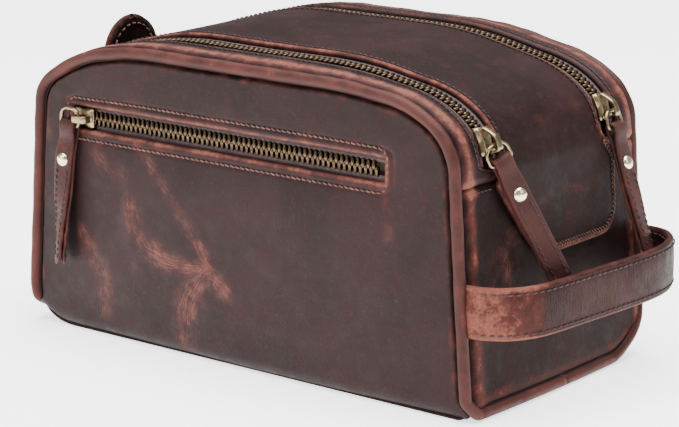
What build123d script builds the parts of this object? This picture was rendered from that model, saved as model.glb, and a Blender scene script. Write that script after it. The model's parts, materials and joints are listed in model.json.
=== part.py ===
"""Leather shaving kit bag: a box-shaped pouch with two top zips, a front pocket and a side handle.

X runs along the length (handle end at +X), Y along the depth (pocket side at -Y) and Z up. The
origin is the centre of the footprint, on the surface that the bag stands on. Millimetres.
"""

import os
from math import atan2, ceil, cos, degrees, pi, radians, sin

from build123d import *

os.makedirs("parts", exist_ok=True)

# Bag body
HEIGHT = 140.0
BOTTOM_HALF = 127.0
TOP_HALF = 118.0
TOP_RADIUS = 38.0
BOTTOM_RADIUS = 9.0
LEATHER = 2.0
CLOTH = 0.5
SEAM_Z = 99.0
FAR = 400.0

# Depth-wise layers, each measured from the middle of the bag
PANEL_OUTER_Y = 68.0
PANEL_INNER_Y = 66.0
PIPING_Y = 67.0
PIPING_RADIUS = 2.5
CORD_RADIUS = 1.4
PIPING_INSET = 2.6
GUSSET_Y = 64.4
FLANGE_INSET = 12.0
PANEL_INSET = 5.6
LINING_Y = 59.4
LINING_INSET = 3.5
BOARD_THICKNESS = 1.4

# Zip chain, measured from its own middle
CHAIN_HALF = 3.8
CHAIN_THICKNESS = 2.6
ROW_GAP = 0.5
TOOTH_ROOT = 2.2
TOOTH_PITCH = 2.85
TOOTH_LENGTH = 1.6
TAPE_THICKNESS = 0.6
TAPE_REACH = 11.0
CHAIN_INSET = LEATHER + TAPE_THICKNESS / 2

# Top zips and lid
TOP_ZIP_Y = 45.0
TOP_ZIP_GAP = 6.5
LID_HALF = TOP_ZIP_Y - TOP_ZIP_GAP
LID_FOLD_X = -84.0
FOLD_GAP = 0.5
ZIP_END_Z = 126.0
LID_CHAIN_END_Z = 106.0
LID_CHAIN_START_X = -80.0
TONGUE_HALF = 46.0
TONGUE_BOTTOM_Z = 61.0
TONGUE_TOP_Z = 104.0
TONGUE_CORNER = 14.0
TONGUE_FOOT_Y = -18.0
TONGUE_PROUD = 2.4
SKIN_GAP = 0.4

# Pocket
WINDOW_LEFT, WINDOW_RIGHT = -97.0, 82.0
POCKET_Z = 102.3
WINDOW_HALF = 5.3
POUCH_LEFT, POUCH_RIGHT = -101.0, 87.0
POUCH_BOTTOM, POUCH_TOP = 32.0, 116.0
POUCH_FRONT_Y, POUCH_BACK_Y = 65.3, 60.0

# Sliders and pulls
SLIDER_HALF = 4.9
CHANNEL_HALF = 4.1
CHANNEL_HEIGHT = 1.9
PLATE = 1.2
TAPE_SLOT = 0.65
WEB_HALF = 0.2
SLIDER_LENGTH = 12.0
SLIDER_ANGLE = 22.0
BRIDGE_HALF = 1.6
BRIDGE_HEIGHT = 5.4
BRIDGE_BAR = 1.2
EYE_ALONG = 3.0
EYE_HALF = 1.8
WIRE = 0.8
RING_WIDE = 12.2
RING_LONG = 7.8
RING_CORNER = 1.6
RING_HANG = 0.6
PULL_WIDTH = 10.0
PULL_THICKNESS = 3.4
PULL_LENGTH = 57.0
POCKET_PULL_LENGTH = 66.0
PULL_EYE = 1.15
PULL_EYE_WALL = 1.8
PULL_TIP_RADIUS = 4.2
RIVET_ALONG = 16.0
RIVET_CAP = 3.2
RIVET_SHANK = 1.3
RIVET_RISE = 1.3
TOP_PULL_LEAN = 18.0
FRONT_PULL_YAW = 20.0
POCKET_PULL_TILT = 6.0

# Handle and grab tab
HANDLE_LOW, HANDLE_HIGH = 37.5, 59.4
HANDLE_THICKNESS = 3.5
HANDLE_REACH = 155.6
HANDLE_SHOULDER = 149.5
HANDLE_PIVOT_X = 140.0
PIVOT_CLEARANCE = 1.2
HANDLE_WALL_X = 118.0
TAB_HALF = 17.0
TAB_THICKNESS = 3.0
TAB_LENGTH = 38.0
TAB_ROOT_Z = 97.5
TAB_LEAN = 10.0
TAB_GAP = 0.4

LEAN = atan2(BOTTOM_HALF - TOP_HALF, HEIGHT)
CHAIN_RADIUS = TOP_RADIUS - CHAIN_INSET
SHOULDER_Z = HEIGHT - TOP_RADIUS


def wall_x(height):
    """Half-length of the outer surface of the leaning end walls at a height."""
    return BOTTOM_HALF - (BOTTOM_HALF - TOP_HALF) * height / HEIGHT


SHOULDER_X = wall_x(SHOULDER_Z) - TOP_RADIUS / cos(LEAN)


def outline(inset, mode=Mode.ADD):
    """Add the bag's side outline, inset from its outer leather surface, to the open sketch."""
    low = wall_x(inset) - inset / cos(LEAN)
    high = wall_x(HEIGHT - inset) - inset / cos(LEAN)
    corners = [(-low, inset), (low, inset), (high, HEIGHT - inset), (-high, HEIGHT - inset)]
    bottom, top = max(BOTTOM_RADIUS - inset, 1), TOP_RADIUS - inset
    with BuildLine() as edge:
        FilletPolyline(*corners, radius=[bottom, bottom, top, top], close=True)
    make_face(edge.edges(), mode=mode)


def wall(outer, inner, y_low, y_high, keep=None):
    """Add a band of wall between two insets and two depths, kept inside an (x, z, x, z) box."""
    with BuildSketch(Plane.XZ.offset(-y_high)) as band:
        outline(outer)
        outline(inner, mode=Mode.SUBTRACT)
        if keep:
            left, low, right, high = keep
            with Locations(((left + right) / 2, (low + high) / 2)):
                Rectangle(right - left, high - low, mode=Mode.INTERSECT)
    extrude(band.sketch, amount=y_high - y_low)


def slab(outer, y_low, y_high):
    """Add a full flat panel of the bag's outline between two depths."""
    with BuildSketch(Plane.XZ.offset(-y_high)) as face:
        outline(outer)
    extrude(face.sketch, amount=y_high - y_low)


def block(x_low, x_high, y_low, y_high, z_low, z_high, mode=Mode.ADD):
    """Add or cut a plain block given by its limits."""
    middle = ((x_low + x_high) / 2, (y_low + y_high) / 2, (z_low + z_high) / 2)
    with Locations(middle):
        Box(x_high - x_low, y_high - y_low, z_high - z_low, mode=mode)


def save(name, builder):
    """Label a finished sub-part and write its STEP file."""
    builder.part.label = name
    export_step(builder.part, f"parts/{name}.step")


def spans(side, near, far):
    """Depth limits, low first, of a layer on one side of the bag."""
    return sorted((side * near, side * far))


SIDES = (("front", -1), ("back", 1))

# Front and back panels, piping and linings
for label, side in SIDES:
    with BuildPart() as panel:
        slab(PANEL_INSET, *spans(side, PANEL_INNER_Y, PANEL_OUTER_Y))
        if side < 0:
            block(WINDOW_LEFT, WINDOW_RIGHT, -FAR, 0, POCKET_Z - WINDOW_HALF,
                  POCKET_Z + WINDOW_HALF, mode=Mode.SUBTRACT)
    save(f"{label}_panel", panel)

    with BuildSketch(Plane.XZ.offset(-side * PIPING_Y)) as core_sketch:
        outline(PIPING_INSET)
    core_path = core_sketch.sketch.face().outer_wire()
    section = Plane(origin=core_path @ 0, x_dir=(0, 1, 0), z_dir=core_path % 0)

    with BuildPart() as cord:
        with BuildSketch(section):
            Circle(CORD_RADIUS)
        sweep(path=core_path)
    save(f"{label}_piping_cord", cord)

    with BuildPart() as piping:
        with BuildSketch(section):
            Circle(PIPING_RADIUS)
        sweep(path=core_path)
        wall(PIPING_INSET, FLANGE_INSET, *spans(side, GUSSET_Y, PANEL_INNER_Y))
        add(cord.part, mode=Mode.SUBTRACT)
    save(f"{label}_piping", piping)

    with BuildPart() as lining:
        slab(LINING_INSET + CLOTH, *spans(side, LINING_Y, LINING_Y + CLOTH))
    save(f"{label}_lining", lining)

# Gusset: both ends and the bottom in one strip, with its edges turned in at the piping
with BuildPart() as base_gusset:
    below = (-FAR, -1, FAR, SEAM_Z)
    wall(0, LEATHER, -GUSSET_Y, GUSSET_Y, below)
    for label, side in SIDES:
        wall(LEATHER, FLANGE_INSET, *spans(side, GUSSET_Y - LEATHER, GUSSET_Y), below)
save("base_gusset", base_gusset)

# Top strips: from the piping to the zips, and in to the fixed end of the lid past the zips
for label, side in SIDES:
    with BuildPart() as strip:
        above = (-FAR, SEAM_Z, FAR, HEIGHT + 1)
        wall(0, LEATHER, *spans(side, TOP_ZIP_Y + TOP_ZIP_GAP, GUSSET_Y), above)
        wall(LEATHER, FLANGE_INSET, *spans(side, GUSSET_Y - LEATHER, GUSSET_Y), above)
        wall(0, LEATHER, *spans(side, LID_HALF, TOP_ZIP_Y + TOP_ZIP_GAP),
             (-FAR, SEAM_Z, 0, ZIP_END_Z - FOLD_GAP))
    save(f"{label}_top_strip", strip)

with BuildPart() as lid_root:
    wall(0, LEATHER, -LID_HALF, LID_HALF, (-FAR, SEAM_Z, LID_FOLD_X - FOLD_GAP, HEIGHT + 1))
save("lid_root", lid_root)

with BuildPart() as gusset_lining:
    hem = LINING_INSET + CLOTH
    wall(LINING_INSET, hem, -LINING_Y, LINING_Y, (-FAR, 0, FAR, SEAM_Z))
    for label, side in SIDES:
        wall(LINING_INSET, hem, *spans(side, TOP_ZIP_Y + TAPE_REACH, LINING_Y),
             (-FAR, SEAM_Z, FAR, HEIGHT))
    wall(LINING_INSET, hem, -LID_HALF, LID_HALF, (-FAR, SEAM_Z, LID_FOLD_X - FOLD_GAP, HEIGHT))
save("gusset_lining", gusset_lining)

with BuildPart() as base_board:
    reach = BOTTOM_HALF - BOTTOM_RADIUS - LEATHER
    block(-reach, reach, -LINING_Y, LINING_Y, LEATHER, LEATHER + BOARD_THICKNESS)
save("base_board", base_board)

# Pocket: a flat cloth pouch hung behind the front panel, open at its slot
with BuildPart() as pocket_pouch:
    block(POUCH_LEFT, POUCH_RIGHT, -POUCH_FRONT_Y, -POUCH_BACK_Y, POUCH_BOTTOM, POUCH_TOP)
    block(POUCH_LEFT + CLOTH, POUCH_RIGHT - CLOTH, CLOTH - POUCH_FRONT_Y, -CLOTH - POUCH_BACK_Y,
          POUCH_BOTTOM + CLOTH, POUCH_TOP - CLOTH, mode=Mode.SUBTRACT)
    block(WINDOW_LEFT - CHAIN_HALF, WINDOW_RIGHT + CHAIN_HALF, -POUCH_FRONT_Y,
          CLOTH - POUCH_FRONT_Y, POCKET_Z - WINDOW_HALF, POCKET_Z + WINDOW_HALF, mode=Mode.SUBTRACT)
save("pocket_pouch", pocket_pouch)

# Pocket zip: tapes, tooth rows and end stops behind the window
POCKET_CHAIN_Y = -(PANEL_INNER_Y - TAPE_THICKNESS / 2)
for label, side in (("upper", 1), ("lower", -1)):
    with BuildPart() as tape:
        low, high = sorted((POCKET_Z + side * CHAIN_HALF, POCKET_Z + side * TAPE_REACH))
        block(WINDOW_LEFT - CHAIN_HALF, WINDOW_RIGHT + CHAIN_HALF, -PANEL_INNER_Y,
              TAPE_THICKNESS - PANEL_INNER_Y, low, high)
    save(f"pocket_{label}_tape", tape)

    with BuildPart() as teeth:
        low, high = sorted((POCKET_Z + side * TOOTH_ROOT, POCKET_Z + side * CHAIN_HALF))
        block(WINDOW_LEFT, WINDOW_RIGHT, POCKET_CHAIN_Y - CHAIN_THICKNESS / 2,
              POCKET_CHAIN_Y + CHAIN_THICKNESS / 2, low, high)
        count = int((WINDOW_RIGHT - WINDOW_LEFT) / TOOTH_PITCH)
        first = (WINDOW_LEFT + WINDOW_RIGHT) / 2 + (side - 1) * TOOTH_PITCH / 4
        with Locations((first, POCKET_CHAIN_Y, POCKET_Z + side * (ROW_GAP + TOOTH_ROOT) / 2)):
            with GridLocations(TOOTH_PITCH, 1, count - 1, 1):
                Box(TOOTH_LENGTH, CHAIN_THICKNESS, TOOTH_ROOT - ROW_GAP)
    save(f"pocket_{label}_teeth", teeth)

with BuildPart() as end_stops:
    stop_y = POCKET_CHAIN_Y + TAPE_THICKNESS / 2
    for x in (WINDOW_LEFT - LEATHER, WINDOW_RIGHT + LEATHER):
        block(x - 1, x + 1, stop_y, stop_y + PLATE, POCKET_Z - CHAIN_HALF, POCKET_Z + CHAIN_HALF)
save("pocket_end_stops", end_stops)


def chain_points(keep):
    """Evenly spaced points along the top zips' middle line, each with its direction."""
    left, low, right, high = keep
    arc = CHAIN_RADIUS * (pi / 2 - LEAN)
    flat = 2 * SHOULDER_X
    total = 2 * arc + flat
    for step in range(ceil(total / TOOTH_PITCH)):
        travel = step * TOOTH_PITCH - total / 2
        beyond = abs(travel) - flat / 2
        turn = max(beyond, 0) / CHAIN_RADIUS
        x = min(abs(travel), flat / 2) + CHAIN_RADIUS * sin(turn)
        x = x if travel > 0 else -x
        z = SHOULDER_Z + CHAIN_RADIUS * cos(turn)
        edge = TOOTH_LENGTH
        if left + edge < x < right - edge and low + edge < z < high:
            yield x, z, degrees(turn) * (1 if travel > 0 else -1)


def tooth_row(side, inward, keep):
    """Add one row of top-zip teeth: a solid root with a tooth at every pitch."""
    middle = side * TOP_ZIP_Y
    away = -side if inward else side
    low, high = sorted((middle + away * TOOTH_ROOT, middle + away * CHAIN_HALF))
    half = CHAIN_THICKNESS / 2
    wall(CHAIN_INSET - half, CHAIN_INSET + half, low, high, keep)
    y = middle + away * (ROW_GAP + TOOTH_ROOT) / 2
    places = [Location((x, y, z), (0, turn, 0)) for x, z, turn in chain_points(keep)]
    with Locations(*places):
        Box(TOOTH_LENGTH, TOOTH_ROOT - ROW_GAP, CHAIN_THICKNESS)


def tape_strip(side, inward, keep):
    """Add the cloth tape that one row of top-zip teeth is clamped to."""
    middle = side * TOP_ZIP_Y
    away = -side if inward else side
    depths = sorted((middle + away * CHAIN_HALF, middle + away * TAPE_REACH))
    wall(LEATHER, LEATHER + TAPE_THICKNESS, *depths, keep)


BAG_CHAIN = (-FAR, ZIP_END_Z, FAR, HEIGHT)
LID_CHAIN = (LID_CHAIN_START_X, LID_CHAIN_END_Z, FAR, HEIGHT)
ROOT_CHAIN = (-FAR, ZIP_END_Z, LID_FOLD_X - FOLD_GAP, HEIGHT)

for label, side in SIDES:
    for part_of, inward, keep in (("outer", False, BAG_CHAIN), ("inner", True, LID_CHAIN)):
        with BuildPart() as tape:
            tape_strip(side, inward, keep)
        save(f"{label}_zip_{part_of}_tape", tape)
        with BuildPart() as teeth:
            tooth_row(side, inward, keep)
        save(f"{label}_zip_{part_of}_teeth", teeth)

with BuildPart() as zip_root_tapes:
    for label, side in SIDES:
        tape_strip(side, True, ROOT_CHAIN)
save("zip_root_tapes", zip_root_tapes)

with BuildPart() as zip_root_teeth:
    for label, side in SIDES:
        tooth_row(side, True, ROOT_CHAIN)
save("zip_root_teeth", zip_root_teeth)

# Lid: the leather between the zips, ending in a rounded tongue that laps over the end gusset
with BuildPart() as tongue:
    wall(-TONGUE_PROUD, -SKIN_GAP, -TONGUE_HALF, TONGUE_HALF,
         (0, TONGUE_BOTTOM_Z, FAR, SEAM_Z - FOLD_GAP))
    with BuildSketch(Plane.YZ) as shape:
        with BuildLine() as edge:
            FilletPolyline((-TONGUE_HALF, SEAM_Z), (TONGUE_FOOT_Y, TONGUE_BOTTOM_Z),
                           (TONGUE_HALF, TONGUE_BOTTOM_Z), (TONGUE_HALF, SEAM_Z),
                           radius=TONGUE_CORNER)
            Line((TONGUE_HALF, SEAM_Z), (-TONGUE_HALF, SEAM_Z))
        make_face(edge.edges())
    extrude(shape.sketch, amount=FAR, mode=Mode.INTERSECT)
    wall(-TONGUE_PROUD, -SKIN_GAP, -LID_HALF, LID_HALF,
         (0, SEAM_Z - FOLD_GAP, FAR, TONGUE_TOP_Z))

with BuildPart() as lid_panel:
    wall(0, LEATHER, -LID_HALF, LID_HALF, (LID_FOLD_X, SEAM_Z + 1, FAR, HEIGHT + 1))
    wall(-TONGUE_PROUD, LEATHER, -LID_HALF, LID_HALF, (0, SEAM_Z + 1, FAR, TONGUE_TOP_Z))
    add(tongue.part)
save("lid_panel", lid_panel)

with BuildPart() as lid_lining:
    wall(LINING_INSET, LINING_INSET + CLOTH, -LID_HALF, LID_HALF, LID_CHAIN)
save("lid_lining", lid_lining)

# Sliders: a channel round both tooth rows, with a web between them and a bridge for the ring


def slider_section():
    """Add the slider's cross-section: local X is outward, local Y is across the chain."""
    Rectangle(2 * (CHANNEL_HEIGHT + PLATE), 2 * SLIDER_HALF)
    Rectangle(2 * CHANNEL_HEIGHT, 2 * CHANNEL_HALF, mode=Mode.SUBTRACT)
    Rectangle(2 * TAPE_SLOT, 2 * SLIDER_HALF, mode=Mode.SUBTRACT)
    Rectangle(2 * CHANNEL_HEIGHT, 2 * WEB_HALF)


def bridge_section(eye_along):
    """Add the bridge's side view: local X along the slider, local Y outward, with its ring eye."""
    base = CHANNEL_HEIGHT + PLATE
    top = base + BRIDGE_HEIGHT
    reach = SLIDER_LENGTH / 2
    with BuildLine() as edge:
        Polyline((-reach, base - BRIDGE_BAR), (reach, base - BRIDGE_BAR),
                 (reach, top - 1), (reach - 1, top), (eye_along - EYE_HALF - BRIDGE_BAR, top),
                 (-reach, base + 1), close=True)
    make_face(edge.edges())
    with Locations((eye_along, base + (BRIDGE_HEIGHT - BRIDGE_BAR) / 2)):
        Rectangle(2 * EYE_HALF, BRIDGE_HEIGHT - BRIDGE_BAR, mode=Mode.SUBTRACT)


def frame_at(origin, along, outward):
    """A plane whose X axis runs along a piece and whose Y axis points outward."""
    return Plane(origin=origin, x_dir=along, z_dir=along.cross(outward))


def ring_path(pull):
    """Closed middle line of a ring that lies along its pull from the bridge's eye."""
    flat = Plane(origin=pull.origin, x_dir=pull.x_dir, z_dir=pull.y_dir)
    half = RING_WIDE / 2
    with BuildLine(flat) as line:
        FilletPolyline((0, -half), (RING_LONG, -half), (RING_LONG, half), (0, half),
                       radius=RING_CORNER, close=True)
    return line.wire()


def make_ring(name, path, start, direction):
    """Sweep round wire along a ring's middle line."""
    with BuildPart() as ring:
        with BuildSketch(Plane(origin=start, z_dir=direction)) as section:
            Circle(WIRE)
        sweep(section.sketch, path=path)
    save(name, ring)


def make_pull(label, pull, length):
    """Leather pull, folded round the ring's bar, and the rivet through it."""
    sideways = pull.z_dir
    rivet_at = pull.origin + pull.x_dir * RIVET_ALONG
    rivet_face = Plane(origin=rivet_at, x_dir=pull.x_dir, z_dir=pull.y_dir)
    with BuildPart() as strap:
        with BuildSketch(rivet_face.offset(-PULL_THICKNESS / 2)) as face:
            with Locations((length / 2 - RIVET_ALONG, 0)):
                Rectangle(length, PULL_WIDTH)
            fillet(face.vertices().sort_by(Axis.X)[-2:], PULL_TIP_RADIUS)
        extrude(amount=PULL_THICKNESS)
        with BuildSketch(Plane(origin=pull.origin - sideways * (PULL_WIDTH / 2),
                               x_dir=pull.x_dir, z_dir=sideways)):
            Circle(PULL_EYE_WALL)
        extrude(amount=PULL_WIDTH)
        with BuildSketch(Plane(origin=pull.origin - sideways * PULL_WIDTH,
                               x_dir=pull.x_dir, z_dir=sideways)):
            Circle(PULL_EYE)
        extrude(amount=2 * PULL_WIDTH, mode=Mode.SUBTRACT)
        with BuildSketch(rivet_face.offset(-PULL_THICKNESS)):
            Circle(RIVET_SHANK)
        extrude(amount=2 * PULL_THICKNESS, mode=Mode.SUBTRACT)
    save(f"{label}_pull", strap)

    with BuildPart() as rivet:
        with BuildSketch(rivet_face.offset(-PULL_THICKNESS / 2)):
            Circle(RIVET_SHANK)
        extrude(amount=PULL_THICKNESS)
        with BuildSketch(rivet_face.offset(PULL_THICKNESS / 2)):
            Circle(RIVET_CAP)
        extrude(amount=RIVET_RISE)
        fillet(rivet.faces().sort_by(Axis(rivet_at, pull.y_dir))[-1].edges(), RIVET_RISE / 2)
        with BuildSketch(rivet_face.offset(-PULL_THICKNESS / 2 - CLOTH)):
            Circle(RIVET_CAP - CLOTH)
        extrude(amount=CLOTH)
    save(f"{label}_pull_rivet", rivet)


shoulder = Vector(SHOULDER_X, 0, SHOULDER_Z)
rise = radians(SLIDER_ANGLE)
half_turn = degrees(SLIDER_LENGTH / 2 / CHAIN_RADIUS)
eye_height = CHANNEL_HEIGHT + PLATE + (BRIDGE_HEIGHT - BRIDGE_BAR) / 2
pull_frames = {}
strap_frames = {}

for label, side in SIDES:
    middle = shoulder + Vector(0, side * TOP_ZIP_Y, 0)
    arc_axis = Axis(middle, (0, -1, 0))
    first = radians(SLIDER_ANGLE - half_turn)
    radial = Vector(cos(first), 0, sin(first))
    start_plane = Plane(origin=middle + radial * CHAIN_RADIUS, x_dir=radial,
                        z_dir=(-sin(first), 0, cos(first)))
    with BuildPart() as slider:
        with BuildSketch(start_plane):
            slider_section()
        revolve(axis=arc_axis, revolution_arc=2 * half_turn)
    save(f"{label}_slider_body", slider)

    outward = Vector(cos(rise), 0, sin(rise))
    downhill = Vector(sin(rise), 0, -cos(rise))
    seat = frame_at(middle + outward * CHAIN_RADIUS, downhill, outward)
    with BuildPart() as bridge:
        with BuildSketch(seat):
            bridge_section(EYE_ALONG)
        extrude(amount=BRIDGE_HALF, both=True)
        plate_top = CHAIN_RADIUS + CHANNEL_HEIGHT + PLATE
        with Locations(Location(middle, (90, 0, 0))):
            Cylinder(plate_top, 2 * SLIDER_HALF, mode=Mode.SUBTRACT)
    save(f"{label}_slider_bridge", bridge)

    lean = radians(TOP_PULL_LEAN)
    yaw = radians(FRONT_PULL_YAW) if side < 0 else 0
    eye = seat.origin + downhill * EYE_ALONG + outward * eye_height
    along = Vector(sin(lean) * cos(yaw), sin(yaw), -cos(lean) * cos(yaw))
    pull = frame_at(eye, along, Vector(cos(lean), 0, sin(lean)))
    make_ring(f"{label}_ring", ring_path(pull), eye, pull.z_dir)
    strap = frame_at(eye + along * RING_LONG, along, pull.y_dir)
    make_pull(label, strap, PULL_LENGTH)
    pull_frames[label], strap_frames[label] = pull, strap

# Pocket slider, closed at the left end of its window
POCKET_SLIDER_X = WINDOW_LEFT + SLIDER_LENGTH / 2 + SKIN_GAP
pocket_middle = Vector(POCKET_SLIDER_X, POCKET_CHAIN_Y, POCKET_Z)
with BuildPart() as slider:
    with BuildSketch(Plane(origin=pocket_middle, x_dir=(0, -1, 0), z_dir=(-1, 0, 0))):
        slider_section()
    extrude(amount=SLIDER_LENGTH / 2, both=True)
save("pocket_slider_body", slider)

seat = frame_at(pocket_middle, Vector(-1, 0, 0), Vector(0, -1, 0))
with BuildPart() as bridge:
    with BuildSketch(seat):
        bridge_section(0)
    extrude(amount=BRIDGE_HALF, both=True)
    plate_top = POCKET_CHAIN_Y - CHANNEL_HEIGHT - PLATE
    block(-FAR, FAR, plate_top, 0, 0, HEIGHT, mode=Mode.SUBTRACT)
save("pocket_slider_bridge", bridge)

# The pocket ring hangs sideways from the bridge, and its pull hangs from the ring's lower side
tilt = radians(POCKET_PULL_TILT)
eye = pocket_middle + Vector(0, -eye_height, 0)
hang = Vector(-sin(tilt), 0, -cos(tilt))
leftward = Vector(-cos(tilt), 0, sin(tilt))
ring_low = eye + hang * (RING_LONG / 2 + RING_HANG)
ring_middle_top = ring_low + leftward * (RING_WIDE / 2) - hang * RING_LONG
pull = frame_at(ring_middle_top, hang, Vector(0, -1, 0))
make_ring("pocket_ring", ring_path(pull), ring_middle_top, pull.z_dir)
strap = frame_at(ring_middle_top + hang * RING_LONG, hang, Vector(0, -1, 0))
make_pull("pocket", strap, POCKET_PULL_LENGTH)
pull_frames["pocket"], strap_frames["pocket"] = frame_at(eye, hang, Vector(0, -1, 0)), strap

# Side handle: a flat strap bowed out from the end wall, with its sewn ends split off at the pivot
HANDLE_Z = (HANDLE_LOW + HANDLE_HIGH) / 2
HANDLE_HALF = (HANDLE_HIGH - HANDLE_LOW) / 2


def handle_strap():
    """Add the whole bowed handle strap, from wall to wall."""
    with BuildSketch(Plane.XY.offset(HANDLE_LOW)) as plan:
        with BuildLine() as bow:
            FilletPolyline((HANDLE_WALL_X, -GUSSET_Y), (HANDLE_SHOULDER, -GUSSET_Y),
                           (HANDLE_REACH, TAB_HALF), (HANDLE_SHOULDER, GUSSET_Y),
                           (HANDLE_WALL_X, GUSSET_Y), radius=[20, 200, 20])
            Line((HANDLE_WALL_X, GUSSET_Y), (HANDLE_WALL_X, -GUSSET_Y))
        make_face(bow.edges())
        offset(amount=-HANDLE_THICKNESS, mode=Mode.SUBTRACT)
    extrude(plan.sketch, amount=HANDLE_HIGH - HANDLE_LOW)


def pivot_slab(radius, mode):
    """Cut with, or keep, the part of a slab left of the pivot that lies outside a radius."""
    with BuildSketch(Plane.XZ.offset(-FAR)) as side_view:
        with Locations(((HANDLE_PIVOT_X + HANDLE_WALL_X) / 2 - SEAM_Z / 2, HANDLE_Z)):
            Rectangle(HANDLE_PIVOT_X - HANDLE_WALL_X + SEAM_Z, SEAM_Z)
        with Locations((HANDLE_PIVOT_X, HANDLE_Z)):
            Circle(radius, mode=Mode.SUBTRACT)
    extrude(side_view.sketch, amount=2 * FAR, mode=mode)


with BuildPart() as handle:
    handle_strap()
    pivot_slab(HANDLE_HALF, Mode.SUBTRACT)
save("handle", handle)

with BuildPart() as handle_ends:
    handle_strap()
    pivot_slab(HANDLE_HALF + PIVOT_CLEARANCE, Mode.INTERSECT)
    with BuildSketch(Plane.XZ.offset(-FAR)):
        outline(0)
    extrude(amount=2 * FAR, mode=Mode.SUBTRACT)
save("handle_ends", handle_ends)

# Grab tab: a rounded leaf of leather standing at the left end
tab_lean = radians(TAB_LEAN)
tab_root = Vector(-wall_x(TAB_ROOT_Z) - TAB_GAP, 0, TAB_ROOT_Z)
with BuildPart() as left_tab:
    with BuildSketch(Plane(origin=tab_root, x_dir=(0, -1, 0),
                           z_dir=(-cos(tab_lean), 0, -sin(tab_lean)))):
        with Locations((0, (TAB_LENGTH - TAB_HALF) / 2)):
            Rectangle(2 * TAB_HALF, TAB_LENGTH - TAB_HALF)
        with Locations((0, TAB_LENGTH - TAB_HALF)):
            Circle(TAB_HALF)
    extrude(amount=TAB_THICKNESS)
save("left_tab", left_tab)
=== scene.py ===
"""Looks of the leather shaving kit bag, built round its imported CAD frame.

Lengths are millimetres until to_mesh, which makes them metres.
"""
import json
import math

import bmesh
import bpy
import numpy as np
from mathutils import Matrix, Vector


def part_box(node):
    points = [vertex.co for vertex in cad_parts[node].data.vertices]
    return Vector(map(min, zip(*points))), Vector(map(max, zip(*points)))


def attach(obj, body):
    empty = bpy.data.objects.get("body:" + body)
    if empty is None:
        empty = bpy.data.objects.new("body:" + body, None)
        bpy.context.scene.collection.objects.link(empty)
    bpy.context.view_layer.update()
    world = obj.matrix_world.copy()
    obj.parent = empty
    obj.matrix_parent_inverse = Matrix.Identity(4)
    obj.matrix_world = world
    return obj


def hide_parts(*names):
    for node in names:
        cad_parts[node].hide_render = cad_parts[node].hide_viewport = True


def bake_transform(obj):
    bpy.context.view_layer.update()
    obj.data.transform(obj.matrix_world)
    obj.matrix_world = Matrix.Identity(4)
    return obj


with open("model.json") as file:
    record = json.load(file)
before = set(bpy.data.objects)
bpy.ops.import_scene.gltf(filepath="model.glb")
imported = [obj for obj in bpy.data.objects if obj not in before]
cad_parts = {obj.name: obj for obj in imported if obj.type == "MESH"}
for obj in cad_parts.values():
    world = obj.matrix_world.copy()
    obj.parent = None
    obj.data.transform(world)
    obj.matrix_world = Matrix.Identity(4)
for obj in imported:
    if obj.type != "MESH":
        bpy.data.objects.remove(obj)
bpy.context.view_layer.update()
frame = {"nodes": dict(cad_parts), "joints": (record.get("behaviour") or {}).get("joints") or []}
MM = 0.001

# Bag body, as in the CAD
HEIGHT, BOTTOM_HALF, TOP_HALF, TOP_RADIUS, BOTTOM_RADIUS = 140.0, 127.0, 118.0, 38.0, 9.0
SEAM_Z, PIPING_Y, PIPING_RADIUS, PIPING_INSET = 99.0, 67.0, 2.5, 2.6
PANEL_Y, PANEL_INSET, SKIN = 68.0, 5.6, 1.9
WINDOW = (-97.0, 82.0, 97.0, 107.6)
ZIP_Y, ZIP_GAP, CHAIN_DROP, TOOTH_PITCH = 45.0, 6.5, 2.3, 2.85
LID_HALF, TONGUE_HALF, TONGUE_BOTTOM, TONGUE_CORNER = 38.5, 46.0, 61.0, 14.0
POCKET_Z, TONGUE_FOOT = 102.3, 18.0
COUNT_X, COUNT_Z = 130, 56
LEAN = math.atan2(BOTTOM_HALF - TOP_HALF, HEIGHT)
# The tongue's height over the end, a pull's half width and leaf, and how far the linings lie inside
TONGUE_LIFT, PULL_HALF, LEAF, LINING_DEPTH = 2.35, 5.0, 1.75, 3.9
SLIDER_LEAN, POCKET_PULL_LEAN = math.radians(22.0), math.radians(4.6)


# ---------------------------------------------------------------- small helpers
def smooth(a, b, t):
    """0 before a, 1 after b, and an S curve between them."""
    u = np.clip((np.asarray(t, float) - a) / (b - a), 0, 1)
    return u * u * (3 - 2 * u)


def hump(centre, width, t):
    """1 at centre, falling away on both sides."""
    return np.exp(-(((np.asarray(t, float) - centre) / width) ** 2))


def unit(v):
    v = np.asarray(v, float)
    return v / np.maximum(np.linalg.norm(v, axis=-1, keepdims=True), 1e-9)


def ripple(p, size):
    """A gentle, repeatable unevenness from -1 to 1, with lumps of about that size."""
    q = np.asarray(p, float) / size * 2.2
    x, y, z = q[..., 0], q[..., 1], q[..., 2]
    return (np.sin(x + 1.7 * np.sin(0.9 * z + 0.4)) * np.cos(z * 1.1 - 0.8 * np.sin(y))
            + 0.6 * np.sin(1.9 * y - 1.3 * x + 2.1) * np.cos(1.6 * z + 0.7 * x)) / 1.6


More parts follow.
